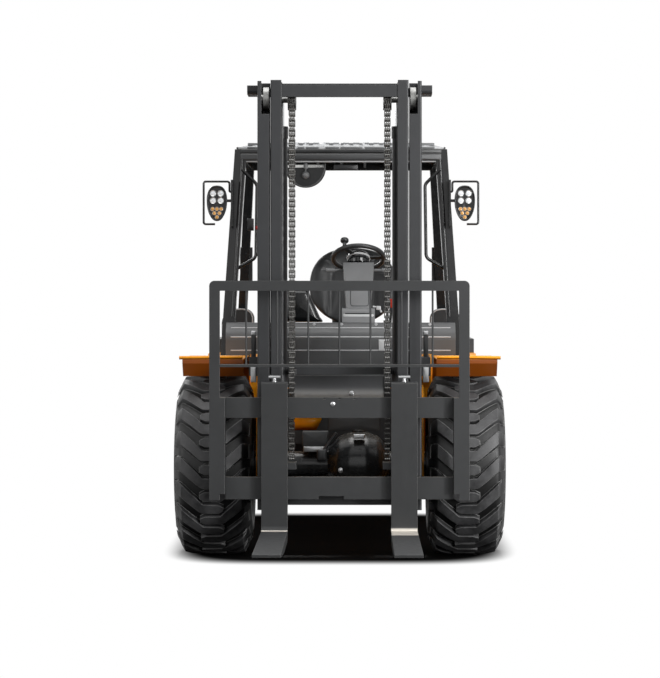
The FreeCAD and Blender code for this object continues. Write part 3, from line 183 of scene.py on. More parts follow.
# --- Painted steelwork -------------------------------------------------------------------------
# Mast, carriage, guard, chassis and axles are welded steel under satin powder coat. The coat has a fine
# orange peel, turns paler in patches along edges, partly as edge wear and partly as a painted highlight, and
# holds dust on its upper faces; where asked, faces that look down or ahead are painted darker as painted
# shade.
def coated(name, colour, dust="#8C857A", roughness=0.42, peel=0.0014, depth=0.00025, paler_share=0.35, dusty=0.12,
        film_and_painted_shade=None, ahead=False):
    """Powder coat on steel: two-scale colour drift, orange peel bump, edges paler in patches (partly wear,
    partly a painted highlight), dust on top and, where a dark colour is given, that colour painted on the
    faces that look down, and ahead too where asked, as painted shade."""
    material, tree, out, place = new_material(name)
    drift = add(tree, "ShaderNodeTexNoise", Vector=place, Scale=1 / 0.22, Detail=5.0, Roughness=0.62)
    grime = add(tree, "ShaderNodeTexNoise", Vector=place, Scale=1 / 0.035, Detail=6.0, Roughness=0.7)
    shade = add(tree, "ShaderNodeMapRange", Value=drift.outputs["Fac"], From_Min=0.3, From_Max=0.7,
                To_Min=0.86, To_Max=1.14)
    base = add(tree, "ShaderNodeMix", {"data_type": "RGBA", "blend_type": "MULTIPLY"}, Factor=1.0,
               i6=linear(colour), i7=shade.outputs[0])
    # edges: where the rounded normal leaves the flat one, the coat is mixed towards a pale grey in patches,
    # partly as edge wear and partly as a painted highlight
    soft = add(tree, "ShaderNodeBevel", {"samples": 4}, Radius=0.0035)
    flat = add(tree, "ShaderNodeNewGeometry")
    turn = add(tree, "ShaderNodeVectorMath", {"operation": "DOT_PRODUCT"}, i0=soft.outputs[0],
        i1=flat.outputs["Normal"])
    edge = add(tree, "ShaderNodeMapRange", Value=turn.outputs["Value"], From_Min=0.985, From_Max=0.86,
               To_Min=0.0, To_Max=paler_share)
    edge_wear_and_highlight = add(tree, "ShaderNodeMath", {"operation": "MULTIPLY"}, i0=edge.outputs[0],
        i1=grime.outputs["Fac"])
    pale = add(tree, "ShaderNodeMix", {"data_type": "RGBA"}, Factor=edge_wear_and_highlight.outputs[0],
               i6=base.outputs[2], i7=linear("#9B9A97"))
    # dust lies on faces that look up, in patches
    up = add(tree, "ShaderNodeSeparateXYZ", Vector=flat.outputs["Normal"])
    lying = add(tree, "ShaderNodeMapRange", Value=up.outputs["Z"], From_Min=0.55, From_Max=1.0,
                To_Min=0.0, To_Max=dusty * 2)
    patchy = add(tree, "ShaderNodeMath", {"operation": "MULTIPLY"}, i0=lying.outputs[0],
        i1=grime.outputs["Fac"])
    coat = add(tree, "ShaderNodeMix", {"data_type": "RGBA"}, Factor=patchy.outputs[0],
               i6=pale.outputs[2], i7=linear(dust))
    # painted shade: faces that look down, and those that look ahead where asked, are mixed towards the dark
    # colour
    if film_and_painted_shade:
        under = add(tree, "ShaderNodeMapRange", Value=up.outputs["Z"], From_Min=-0.1, From_Max=-0.55,
                    To_Min=0.0, To_Max=0.96)
        if ahead:
            fore = add(tree, "ShaderNodeMapRange", Value=up.outputs["Y"], From_Min=-0.7, From_Max=-0.9,
                       To_Min=0.0, To_Max=0.96)
            under = add(tree, "ShaderNodeMath", {"operation": "MAXIMUM"}, i0=under.outputs[0],
                i1=fore.outputs[0])
        coat = add(tree, "ShaderNodeMix", {"data_type": "RGBA"}, Factor=under.outputs[0], i6=coat.outputs[2],
                   i7=linear(film_and_painted_shade))
    gloss = add(tree, "ShaderNodeMapRange", Value=grime.outputs["Fac"], From_Min=0.3, From_Max=0.7,
                To_Min=roughness - 0.06, To_Max=roughness + 0.08)
    skin = add(tree, "ShaderNodeTexNoise", Vector=place, Scale=1 / peel, Detail=2.0)
    bump = add(tree, "ShaderNodeBump", Height=skin.outputs["Fac"], Normal=soft.outputs[0], Strength=0.35,
        Distance=depth)
    surface = add(tree, "ShaderNodeBsdfPrincipled", Base_Color=coat.outputs[2], Roughness=gloss.outputs[0],
                  Normal=bump.outputs[0])
    tree.links.new(surface.outputs[0], out.inputs["Surface"])
    return material


def wear(nodes, material):
    """Give CAD nodes a material in their own slots."""
    for name in nodes:
        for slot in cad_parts[name].material_slots:
            slot.link = "OBJECT"
            slot.material = material


charcoal = coated("powder_coated_steel_charcoal", "#27282A", roughness=0.46, paler_share=0.5, dusty=0.3)
wear(["outer_mast", "inner_mast", "lift_barrels", "tilt_barrel_left", "tilt_barrel_right"], charcoal)
black_coat = coated("powder_coated_steel_black", "#272829", roughness=0.5, paler_share=0.6, dusty=0.3)
wear(["carriage", "load_backrest", "floor_plate", "frame_bulkheads"], black_coat)
enamel = coated("stoved_black_enamel", "#161718", roughness=0.2, peel=0.003, depth=0.0001, paler_share=0.3,
    dusty=0.35)
wear(["overhead_guard", "grab_handles", "lamp_guards"], enamel)
# the orange parts' downward faces are painted dark brown as painted shade
orange = coated("powder_coated_steel_orange", "#F7A008", roughness=0.34, paler_share=0.12, dusty=0.03,
    film_and_painted_shade="#7C3800")
wear(["chassis_frame", "rear_fenders", "step_tanks", "hood"], orange)
# the fenders' downward and forward faces, under the front lip, are painted dark brown as painted shade
fender_coat = coated("powder_coated_fender_orange", "#F7A008", roughness=0.34, paler_share=0.12, dusty=0.03,
    film_and_painted_shade="#7C3800", ahead=True)
wear(["front_fenders"], fender_coat)
forged = coated("painted_forged_steel", "#3C3D3E", roughness=0.36, peel=0.004, depth=0.0008, dusty=0.2)
wear(["rear_axle", "steer_knuckle_left", "steer_knuckle_right", "engine_block", "tow_hitch",
      "front_rim_left", "front_rim_right", "rear_rim_left", "rear_rim_right"], forged)
axle_enamel = coated("brushed_axle_enamel", "#343536", roughness=0.24, peel=0.004, depth=0.0006, dusty=0.3)
wear(["front_axle"], axle_enamel)
cast = coated("painted_cast_iron", "#303235", roughness=0.52, peel=0.003, depth=0.0007, dusty=0.12)
wear(["counterweight"], cast)


# --- Bright steel ------------------------------------------------------------------------------
# Guide rollers and chain sheaves are turned steel, greased; piston rods are hard chrome, ground.
def bare_steel(name, colour, roughness, grain, depth):
    """Machined steel: fine turning marks squeezed along one axis, with drifting roughness."""
    material, tree, out, place = new_material(name)
    along = add(tree, "ShaderNodeMapping", Vector=place, Scale=(1.0, 0.12, 0.12))
    marks = add(tree, "ShaderNodeTexNoise", Vector=along.outputs[0], Scale=1 / grain, Detail=3.0)
    film_and_painted_shade = add(tree, "ShaderNodeTexNoise", Vector=place, Scale=1 / 0.02, Detail=5.0)
    gloss = add(tree, "ShaderNodeMapRange", Value=film_and_painted_shade.outputs["Fac"], From_Min=0.3, From_Max=0.7,
                To_Min=roughness * 0.8, To_Max=roughness * 1.3)
    tint = add(tree, "ShaderNodeMix", {"data_type": "RGBA"}, Factor=film_and_painted_shade.outputs["Fac"],
               i6=linear(colour), i7=linear(colour, 0.72))
    bump = add(tree, "ShaderNodeBump", Height=marks.outputs["Fac"], Strength=0.3, Distance=depth)
    surface = add(tree, "ShaderNodeBsdfPrincipled", Base_Color=tint.outputs[2], Metallic=1.0,
                  Roughness=gloss.outputs[0], Normal=bump.outputs[0])
    tree.links.new(surface.outputs[0], out.inputs["Surface"])
    return material


turned_steel = bare_steel("turned_greased_steel", "#8F8F8D", 0.46, 0.0009, 0.0002)
wear(["outer_mast_rollers", "inner_mast_rollers", "chain_sheaves"], turned_steel)
hard_chrome = bare_steel("ground_hard_chrome", "#D2D3D4", 0.12, 0.0005, 0.00004)
wear(["lift_rods", "tilt_rod_left", "tilt_rod_right", "steer_rod"], hard_chrome)


# --- Mouldings ---------------------------------------------------------------------------------
# Cowl, column cover, lamp shells and handwheel are injection-moulded ABS with a spark-eroded
# grain; the roof cover is a clear ribbed polycarbonate sheet.
def moulded(name, colour, roughness, grain=0.0011, depth=0.0002):
    """Grained ABS: cell-like grain bump, slow colour drift and rubbed, glossier patches."""
    material, tree, out, place = new_material(name)
    cells = add(tree, "ShaderNodeTexVoronoi", Vector=place, Scale=1 / grain)
    drift = add(tree, "ShaderNodeTexNoise", Vector=place, Scale=1 / 0.09, Detail=5.0)
    tint = add(tree, "ShaderNodeMix", {"data_type": "RGBA"}, Factor=drift.outputs["Fac"],
               i6=linear(colour, 0.8), i7=linear(colour, 1.2))
    gloss = add(tree, "ShaderNodeMapRange", Value=drift.outputs["Fac"], From_Min=0.3, From_Max=0.7,
                To_Min=roughness - 0.07, To_Max=roughness + 0.09)
    soft = add(tree, "ShaderNodeBevel", {"samples": 4}, Radius=0.003)
    bump = add(tree, "ShaderNodeBump", Height=cells.outputs["Distance"], Normal=soft.outputs[0], Strength=0.3,
               Distance=depth)
    surface = add(tree, "ShaderNodeBsdfPrincipled", Base_Color=tint.outputs[2], Roughness=gloss.outputs[0],
                  Normal=bump.outputs[0])
    tree.links.new(surface.outputs[0], out.inputs["Surface"])
    return material


black_moulding = moulded("grained_abs_black", "#1B1C1D", 0.34)
wear(["control_levers", "radiator_grille", "interior_mirror", "tail_lamps", "side_covers", "foot_pedals"],
     black_moulding)
graphite = moulded("grained_abs_graphite", "#474849", 0.5)
wear(["cowl"], graphite)
grey_moulding = moulded("grained_abs_grey", "#696A6B", 0.42)
wear(["steering_column"], grey_moulding)
vinyl = moulded("grained_vinyl_black", "#1E1F20", 0.5, 0.0016, 0.0004)


# --- Tyres -------------------------------------------------------------------------------------
# Industrial traction tyres: moulded black rubber with angled lugs that run down from each
# shoulder to a level piece over the middle, set half a pitch apart on the two sides.
def surface(name, grids, material, body, slot=None, smooth=True, wrap=True):
    """One mesh from grids of points (rows, columns, 3); each grid's columns close when wrap is set.
    Quads join neighbours in both directions, and round normals are found from the faces."""
    points, faces, start = [], [], 0
    for grid in grids:
        rows, columns = grid.shape[:2]
        index = start + np.arange(rows * columns).reshape(rows, columns)
        if wrap:
            index = np.concatenate([index, index[:, :1]], axis=1)
        quads = np.stack([index[:-1, :-1], index[:-1, 1:], index[1:, 1:], index[1:, :-1]], axis=-1)
        points.append(grid.reshape(-1, 3))
        faces.append(quads.reshape(-1, 4))
        start += rows * columns
    return mesh_piece(name, np.concatenate(points), np.concatenate(faces), material, body, smooth)


def mesh_piece(name, points, faces, material, body, smooth=True):
    """A mesh object from arrays of points and faces of one size, riding on a body if one is named."""
    mesh = bpy.data.meshes.new(name)
    sides = faces.shape[1]
    mesh.vertices.add(len(points))
    mesh.vertices.foreach_set("co", points.astype(np.float32).ravel())
    mesh.loops.add(faces.size)
    mesh.loops.foreach_set("vertex_index", faces.astype(np.int32).ravel())
    mesh.polygons.add(len(faces))
    mesh.polygons.foreach_set("loop_start", np.arange(len(faces), dtype=np.int32) * sides)
    mesh.update(calc_edges=True)
    mesh.validate()
    mesh.materials.append(material)
    if smooth:
        mesh.shade_smooth()
        mesh.set_sharp_from_angle(angle=math.radians(38))
    piece = bpy.data.objects.new(name, mesh)
    scene.collection.objects.link(piece)
    if body:
        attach(piece, body)
    return piece


crown_drop = 0.055   # share of the wall's height that the tread falls by at its edge
tread_share = 0.80   # tread's half width over the tyre's


def tyre_profile(s, radius, half, rim):
    """Carcass section from inner bead to outer bead: s from -1 to 1 gives (x, r). The tread part is
    a flat crown that drops with the fourth power of x, and the sidewall is a bulge to the bead."""
    wall = radius - rim
    tread = np.clip(np.abs(s) / 0.52, 0, 1)
    side = np.clip((np.abs(s) - 0.52) / 0.48, 0, 1)
    angle = side * math.pi
    x = np.where(side <= 0, tread * half * tread_share, half * (
        tread_share + 0.20 * np.sin(angle * 0.62) / np.sin(math.pi * 0.31) * (side < 0.5) + 0.20 * (
        side >= 0.5) * np.cos((angle - math.pi / 2) * 0.9)))
    r = np.where(side <= 0, radius - crown_drop * wall * tread ** 4,
                 radius - wall * (crown_drop + 0.945 * side ** 1.1))
    return np.sign(s) * x, r


def vulcanised(name, colour, lit, groove):
    """Rubber: fine mould grain and soot-dark drift towards a paler tone; by the height that each point
    stores, the grooves and sidewalls are painted darker than the lug faces, as painted shade."""
    material, tree, out, place = new_material(name)
    grain = add(tree, "ShaderNodeTexNoise", Vector=place, Scale=1 / 0.0018, Detail=3.0)
    drift = add(tree, "ShaderNodeTexNoise", Vector=place, Scale=1 / 0.07, Detail=6.0, Roughness=0.68)
    paler_share = add(tree, "ShaderNodeMapRange", Value=drift.outputs["Fac"], From_Min=0.35, From_Max=0.7,
               To_Min=0.0, To_Max=1.0)
    tint = add(tree, "ShaderNodeMix", {"data_type": "RGBA"}, Factor=paler_share.outputs[0],
               i6=linear(colour), i7=linear(lit))
    gloss = add(tree, "ShaderNodeMapRange", Value=drift.outputs["Fac"], From_Min=0.3, From_Max=0.7,
                To_Min=0.4, To_Max=0.58)
    # painted shade: where the stored height is low, in the grooves and on the sidewalls, the colour goes to
    # the near-black groove colour
    height = add(tree, "ShaderNodeAttribute", {"attribute_name": "height"})
    lug_face_and_painted_groove_shade = add(tree, "ShaderNodeMix", {"data_type": "RGBA"}, Factor=height.outputs["Fac"],
                 i6=linear(groove), i7=tint.outputs[2])
    # lug edges are painted paler in patches, as a painted highlight, where the rounded normal leaves the flat
    # one
    soft = add(tree, "ShaderNodeBevel", {"samples": 6}, Radius=0.006)
    flat = add(tree, "ShaderNodeNewGeometry")
    bend = add(tree, "ShaderNodeVectorMath", {"operation": "DOT_PRODUCT"}, i0=soft.outputs[0],
        i1=flat.outputs["Normal"])
    edge = add(tree, "ShaderNodeMapRange", Value=bend.outputs["Value"], From_Min=0.97, From_Max=0.8,
               To_Min=0.0, To_Max=0.75)
    edge_highlight_patches = add(tree, "ShaderNodeMath", {"operation": "MULTIPLY"}, i0=edge.outputs[0],
        i1=drift.outputs["Fac"])
    painted_edge_highlight = add(tree, "ShaderNodeMix", {"data_type": "RGBA"}, Factor=edge_highlight_patches.outputs[0],
                i6=lug_face_and_painted_groove_shade.outputs[2], i7=linear("#B9B9B7"))
    bump = add(tree, "ShaderNodeBump", Height=grain.outputs["Fac"], Normal=soft.outputs[0], Strength=0.35,
        Distance=0.0004)
    surface = add(tree, "ShaderNodeBsdfPrincipled", Base_Color=painted_edge_highlight.outputs[2], Roughness=gloss.outputs[0],
                  Normal=bump.outputs[0])
    tree.links.new(surface.outputs[0], out.inputs["Surface"])
    return material


# the last colour, near-black, is the painted shade of the grooves
rubber = vulcanised("vulcanised_tread_rubber", "#2C2C2D", "#4C4C4D", "#070707")


def tyre(end, side, lugs, groove, bar, rim_radius):
    """Carcass of revolution plus lugs: each lug is a section carried along a path on the tread."""
    node = f"{end}_tyre_{side}"
    (x0, y0, z0), (x1, y1, z1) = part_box(node)
    centre = np.array([(x0 + x1) / 2, (y0 + y1) / 2, (z0 + z1) / 2])
    radius, half, out = (z1 - z0) / 2, (x1 - x0) / 2, 1 if side == "left" else -1

    def on_tread(x, angle, lift):
        """Point on the tread x across and angle round, lifted along the radius."""
        r = radius - groove + lift - crown_drop * (radius - rim_radius) * (
            np.abs(x) / (half * tread_share)) ** 4
        return np.stack([x, r * np.sin(angle), r * np.cos(angle)], axis=-1)

    turn = np.linspace(0, 2 * math.pi, 97)[:-1]
    s = np.linspace(-1, 1, 57)
    x, r = tyre_profile(s, radius - groove, half - 0.001, rim_radius)
    carcass = np.stack([np.broadcast_to(x[:, None], (57, 96)), r[:, None] * np.sin(turn),
        r[:, None] * np.cos(turn)], axis=-1)
    grids = [carcass]
    pitch = 2 * math.pi / lugs
    # path across the tread: down the shoulder, slanting to the middle, level over it
    t = np.linspace(0, 1, 15)
    across = np.interp(t, [0, 0.12, 0.62, 0.72, 1.0], np.array([0.965, 0.80, 0.29, 0.22, -0.30]) * half)
    round_ = np.interp(t, [0, 0.12, 0.62, 0.72, 1.0], [0.03, 0.0, -0.66, -0.74, -0.74]) * pitch
    width = np.interp(t, [0, 0.12, 0.6, 0.72, 0.94, 1.0], [0.50, 0.50, 0.44, 0.36, 0.34, 0.16]) * pitch * bar
    drop = np.interp(t, [0, 0.12, 1.0], [0.062, 0.0, 0.0])
    # section across a lug: foot, wall, shoulder and top on each side, as (share of width, share of height)
    section = np.array([[-0.64, -0.25], [-0.53, 0.94], [-0.505, 1.0], [0.505, 1.0], [0.53, 0.94],
        [0.64, -0.25]])
    for hand in (1, -1):
        start = np.arange(lugs) * pitch + (0.5 * pitch if hand < 0 else 0.0)
        angle = (start[:, None, None] + round_[None, :, None]
                 + section[None, None, :, 0] * width[None, :, None])
        lift = (section[None, None, :, 1] * groove
                - drop[None, :, None] * (0.35 + 0.65 * (section[None, None, :, 1] > 0)))
        x = np.broadcast_to(hand * across[None, :, None], angle.shape)
        body = on_tread(x, angle, np.broadcast_to(lift, angle.shape))
        # the ends are closed by drawing the last sections in to their middles
        first, last = body[:, :1].mean(axis=2, keepdims=True), body[:, -1:].mean(axis=2, keepdims=True)
        body = np.concatenate([np.broadcast_to(first, body[:, :1].shape), body,
            np.broadcast_to(last, body[:, :1].shape)], axis=1)
        if hand > 0:
            body = body[:, :, ::-1]
        grids += list(body)
    grids = [grid * np.array([out, 1, 1]) + centre for grid in grids]
    if out < 0:
        grids = [grid[:, ::-1] for grid in grids]
    wheel = f"{end}_wheel_{side}"
    piece = surface(f"{end}_tread_{side}", grids, rubber, wheel, "tyre_rubber")
    point = np.empty(len(piece.data.vertices) * 3)
    piece.data.vertices.foreach_get("co", point)
    point = point.reshape(-1, 3) - centre
    share = np.abs(point[:, 0]) / (half * tread_share)
    reach = np.hypot(point[:, 1], point[:, 2])
    over = reach - (radius - groove - crown_drop * (radius - rim_radius) * share ** 4)
    # height: 1 on lug tops, 0 in the grooves and 0.3 on the sidewalls; the rubber paints the low parts darker
    # as painted shade
    height = np.where(share < 1.3, np.clip(over / groove * 1.1, 0, 1) ** 1.5, 0)
    wall = 0.3 * np.clip((radius - groove - 0.012 - reach) / 0.02, 0, 1)
    piece.data.attributes.new("height", "FLOAT", "POINT").data.foreach_set("value",
        np.maximum(height, wall).astype(np.float32))
    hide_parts(node)


for side in ("left", "right"):
    tyre("front", side, 21, 0.027, 1.0, 0.2303)
    tyre("rear", side, 22, 0.022, 1.0, 0.1943)


# --- Lift chains -------------------------------------------------------------------------------
# Leaf chain of one inch pitch: punched side plates laced four and three, held by turned pins,
# oiled. Each strand runs from the carriage over a sheave and back to an anchor on the outer mast.
def plate_outline(pitch, waist, swell, count=7):
    """Outline of one chain plate along the run: two round eyes of the swell's radius, one pitch
    apart, whose flanks dip to the waist half way."""
    turn = np.linspace(-0.5 * math.pi, 0.5 * math.pi, count)
    top = np.stack([swell * np.sin(turn), pitch / 2 + swell * np.cos(turn)], axis=-1)
    return np.concatenate([top, [[waist, 0.0]], -top, [[-waist, 0.0]]])


def chain(route, pitch=0.0254, swell=0.0065, thick=0.0034):
    """Plates and pins, as two lists, placed along a route of points: link centres sit half way
    between pins and turn to the route. Links alternate between four and three plates."""
    length = np.concatenate([[0], np.cumsum(np.linalg.norm(np.diff(route, axis=0), axis=1))])
    pins = np.arange(0, length[-1] + 1e-6, pitch)
    at = np.stack([np.interp(pins, length, route[:, i]) for i in range(3)], axis=-1)
    middle, along = (at[1:] + at[:-1]) / 2, at[1:] - at[:-1]
    along /= np.linalg.norm(along, axis=1, keepdims=True)
    across = np.stack([np.zeros(len(along)), along[:, 2], -along[:, 1]], axis=-1)
    outline = plate_outline(pitch, swell * 0.72, swell)
    grids = []
    for parity, offsets in ((0, (-0.0138, -0.0046, 0.0046, 0.0138)), (1, (-0.0092, 0.0, 0.0092))):
        mid, run, side = middle[parity::2], along[parity::2], across[parity::2]
        flat = mid[:, None] + outline[None, :, :1] * side[:, None] + outline[None, :, 1:] * run[:, None]
        for x in offsets:
            layers = [flat + np.array([x + dx, 0, 0]) for dx in (-thick / 2, thick / 2)]
            centre = [mid[:, None] + np.array([x + dx, 0, 0]) for dx in (-thick / 2, thick / 2)]
            stack = np.stack([np.broadcast_to(centre[0], flat.shape), layers[0], layers[1],
                              np.broadcast_to(centre[1], flat.shape)], axis=1)
            grids += list(stack)
    turn = np.linspace(0, 2 * math.pi, 9)[:-1]
    ring = np.stack([np.zeros(8), 0.0068 * np.cos(turn), 0.0052 * np.sin(turn)], axis=-1)
    ends = np.array([[-0.0125, 0.0], [-0.0125, 1.0], [0.0125, 1.0], [0.0125, 0.0]])
    pin = np.stack([ring * share + np.array([x, 0, 0]) for x, share in ends])
    return grids, [pin + centre for centre in at]


leaf_steel = bare_steel("oiled_leaf_chain_steel", "#4A4947", 0.36, 0.0012, 0.0002)
pin_steel = bare_steel("polished_chain_pin_steel", "#C4C3C0", 0.3, 0.0012, 0.0001)
(fx0, fy0, fz0), (fx1, fy1, fz1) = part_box("lift_chains_front")
(bx0, by0, bz0), (bx1, by1, bz1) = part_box("lift_chains_back")
axle = np.array([(by0 + by1 + fy0 + fy1) / 4, fz1])
run = (by0 + by1 - fy0 - fy1) / 4
arc = np.linspace(math.pi, 0, 25)
strands = {"front": ([], []), "back": ([], []), "sheave": ([], [])}
for hand in (1, -1):
    x = hand * (fx1 - 0.016)
    routes = {"front": [[x, axle[0] - run, fz1], [x, axle[0] - run, fz0]],
        "back": [[x, axle[0] + run, bz1], [x, axle[0] + run, bz0]],
        "sheave": np.stack([np.full(25, x), axle[0] + run * np.cos(arc), axle[1] + run * np.sin(arc)],
        axis=-1)}
    for name, route in routes.items():
        plates, pins = chain(np.array(route))
        strands[name][0].extend(plates)
        strands[name][1].extend(pins)
for name, (plates, pins) in strands.items():
    for part, grids, steel in (("chain_plates", plates, leaf_steel), ("chain_pins", pins, pin_steel)):
        strand = surface(f"{name}_{part}", grids, steel, "mast_inner" if name == "sheave" else None,
            "chain_steel", smooth=part == "chain_pins")
        if name == "front":
            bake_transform(strand)
        if name == "back":
            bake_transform(strand)
        if part == "chain_plates" and name != "sheave":
            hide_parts(f"lift_chains_{name}")


# --- Headlamps ---------------------------------------------------------------------------------
# Egg-shaped LED work lamps: black moulded shell, dark tray, four white emitters in cups above and six amber
# ones below, on a pressed bracket.
def egg(width, low, high, count=40, grow=1.0):
    """Egg outline about its widest point: a half ellipse up to high and a longer, narrower one
    down to low, the lower half's width squeezed towards its tip."""
    turn = np.linspace(0, 2 * math.pi, count + 1)[:-1]
    rise = np.sin(turn)
    tall = np.where(rise >= 0, high, low)
    narrow = np.where(rise >= 0, 1.0, 1.0 - 0.20 * rise ** 2)
    full = np.sign(np.cos(turn)) * np.abs(np.cos(turn)) ** 0.8
    return np.stack([full * width * narrow * grow, np.sign(rise) * np.abs(rise) ** 0.9 * tall * grow],
        axis=-1)


def stacked(outline, centre, steps):
    """Rings of an outline in the XZ plane: each step gives (share of size, y), so the rings form
    a dish or a shell; a share of zero closes it to a point."""
    rings = [np.stack([centre[0] + outline[:, 0] * share, np.full(len(outline), y),
        centre[1] + outline[:, 1] * share], axis=-1) for share, y in steps]
    return np.stack(rings)


def lit(name, colour, glow, strength):
    """Moulded emitter lens: tinted gloss plastic with a faint inner light."""
    material, tree, out, place = new_material(name)
    facet = add(tree, "ShaderNodeTexVoronoi", Vector=place, Scale=1 / 0.004)
    tint = add(tree, "ShaderNodeMix", {"data_type": "RGBA"}, Factor=facet.outputs["Distance"],
               i6=linear(colour), i7=linear(glow))
    bump = add(tree, "ShaderNodeBump", Height=facet.outputs["Distance"], Strength=0.5, Distance=0.0006)
    surface = add(tree, "ShaderNodeBsdfPrincipled", Base_Color=tint.outputs[2], Roughness=0.12,
        Normal=bump.outputs[0], Emission_Color=linear(glow), Emission_Strength=strength)
    tree.links.new(surface.outputs[0], out.inputs["Surface"])
    return material


cup_metal = bare_steel("metallised_reflector", "#D8D8D6", 0.16, 0.002, 0.0001)
tray_black = moulded("gloss_abs_black", "#101112", 0.2, 0.004, 0.0001)
white_led = lit("led_white_lens", "#C8CDD2", "#F4F7FA", 0.12)
amber_led = lit("led_amber_lens", "#B77A35", "#E7B46A", 0.08)
(hx0, hy0, hz0), (hx1, hy1, hz1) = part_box("headlamps")
face_y = hy0
turn = np.linspace(0, 2 * math.pi, 17)[:-1]
circle = np.stack([np.cos(turn), np.sin(turn)], axis=-1)
for side, hand in (("left", 1), ("right", -1)):
    centre = (hand * 0.668, hz0 + 0.113)
    shape = egg(0.0555, 0.112, 0.081)
    shell = stacked(shape, centre, [(0.0, face_y + 0.056), (0.55, face_y + 0.056), (0.86, face_y + 0.046),
        (0.97, face_y + 0.026), (1.0, face_y + 0.010), (0.985, face_y + 0.003), (0.955, face_y),
        (0.90, face_y + 0.001), (0.885, face_y + 0.005)])
    housing = surface(f"headlamp_shell_{side}", [shell], black_moulding, "chassis", "lamp_plastic")
    if side == "left":
        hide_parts("headlamps")
    tray = stacked(shape, centre, [(0.888, face_y + 0.006), (0.86, face_y + 0.008), (0.0, face_y + 0.008)])
    surface(f"headlamp_tray_{side}", [tray], tray_black, "chassis", "lamp_plastic")
    cups, whites, ambers = [], [], []
    for dx, dz, radius, lens in [(-0.0205, 0.0380, 0.0163, whites), (0.0205, 0.0380, 0.0163, whites),
            (-0.0205, -0.0010, 0.0163, whites), (0.0205, -0.0010, 0.0163, whites),
            (-0.0232, -0.0465, 0.0106, ambers), (0.0, -0.0465, 0.0106, ambers),
            (0.0232, -0.0465, 0.0106, ambers), (-0.0135, -0.0690, 0.0106, ambers),
            (0.0135, -0.0690, 0.0106, ambers), (0.0, -0.0905, 0.0106, ambers)]:
        at = (centre[0] + dx, centre[1] + dz)
        cups.append(stacked(circle * radius, at, [(1.06, face_y + 0.008), (1.04, face_y + 0.0035),
            (0.94, face_y + 0.0035), (0.62, face_y + 0.0075)]))
        lens.append(stacked(circle * radius, at, [(0.92, face_y + 0.0065), (0.75, face_y + 0.0045),
            (0.4, face_y + 0.0035), (0.0, face_y + 0.003)]))
    surface(f"headlamp_cups_{side}", cups, cup_metal, "chassis")
    surface(f"headlamp_whites_{side}", whites, white_led, "chassis")
    surface(f"headlamp_ambers_{side}", ambers, amber_led, "chassis")
    arm = stacked(circle * 0.008, (0, 0), [(0.0, 0.0), (1.0, 0.0), (1.0, 1.0), (0.0, 1.0)])
    length = hand * np.array([0.5953, 0.632])
    arm = np.stack([length[0] + (length[1] - length[0]) * arm[..., 1], face_y + 0.052 + arm[..., 0],
        centre[1] + arm[..., 2]], axis=-1)
    surface(f"headlamp_arm_{side}", [arm if hand > 0 else arm[:, ::-1]], black_moulding, "chassis")


# --- Seat --------------------------------------------------------------------------------------
# Suspension seat cushions: moulded foam under grained black vinyl, with a plain middle panel
# between raised bolsters. The panels swell between seams that are sewn down to the foam.
def padding(name, grid, body, material, node, sewn, cap, voxel=0.0055):
    """Stuffed form: the closed surface is remeshed evenly, blown up by cloth pressure while the
    points near the sewn lines and the underside stay put, and held to within cap of its start."""
    piece = surface(name, [grid], material, None)
    remesh = piece.modifiers.new("even_mesh", "REMESH")
    remesh.mode, remesh.voxel_size = "VOXEL", voxel
    depsgraph = bpy.context.evaluated_depsgraph_get()
    mesh = bpy.data.meshes.new_from_object(piece.evaluated_get(depsgraph))
    piece.modifiers.clear()
    piece.data = mesh
    mesh.materials.clear()
    mesh.materials.append(material)
    start = np.empty(len(mesh.vertices) * 3, dtype=np.float32)
    mesh.vertices.foreach_get("co", start)
    start = start.reshape(-1, 3)
    held = piece.vertex_groups.new(name="held")
    held.add(np.flatnonzero(sewn(start)).tolist(), 1.0, "REPLACE")
    cloth = piece.modifiers.new("foam", "CLOTH")
    settings = cloth.settings
    settings.quality, settings.mass = 5, 0.3
    settings.use_pressure, settings.uniform_pressure_force = True, 4.0
    settings.tension_stiffness = settings.compression_stiffness = settings.shear_stiffness = 12.0
    settings.bending_stiffness = 1.5
    settings.effector_weights.gravity = 0.0
    settings.vertex_group_mass = "held"
    cloth.collision_settings.use_collision = False
    cloth.point_cache.frame_start, cloth.point_cache.frame_end = 1, 20
    for step in range(1, 21):
        scene.frame_set(step)
    swollen = piece.evaluated_get(bpy.context.evaluated_depsgraph_get()).to_mesh()
    moved = np.empty_like(start).ravel()
    swollen.vertices.foreach_get("co", moved)
    change = moved.reshape(-1, 3) - start
    length = np.linalg.norm(change, axis=1, keepdims=True)
    final = start + change * np.minimum(1.0, cap / np.maximum(length, 1e-9))
    piece.modifiers.clear()
    scene.frame_set(1)
    mesh.vertices.foreach_set("co", final.astype(np.float32).ravel())
    mesh.update()
    finer = piece.modifiers.new("finish", "SUBSURF")
    finer.levels = finer.render_levels = 1
    mesh.shade_smooth()
    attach(piece, body)
    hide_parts(node)
    return piece


def pillow(rows=41, columns=96, flat=0.5):
    """Unit stuffed form over angle round the edge and angle from front to back: returns the share
    of the outline reached and the share of the thickness, both as rounded-box powers of sine and
    cosine, and the angle round the edge."""
    tilt = np.linspace(0, math.pi, rows)[:, None]
    turn = np.linspace(0, 2 * math.pi, columns + 1)[None, :-1]
    reach = np.abs(np.sin(tilt)) ** flat * np.ones_like(turn)
    depth = np.sign(np.cos(tilt)) * np.abs(np.cos(tilt)) ** flat * np.ones_like(turn)
    return reach, depth, turn * np.ones_like(tilt)


def smooth(value, low, high):
    """Ease from 0 at low to 1 at high by the cubic 3t^2 - 2t^3."""
    t = np.clip((value - low) / (high - low), 0, 1)
    return t * t * (3 - 2 * t)


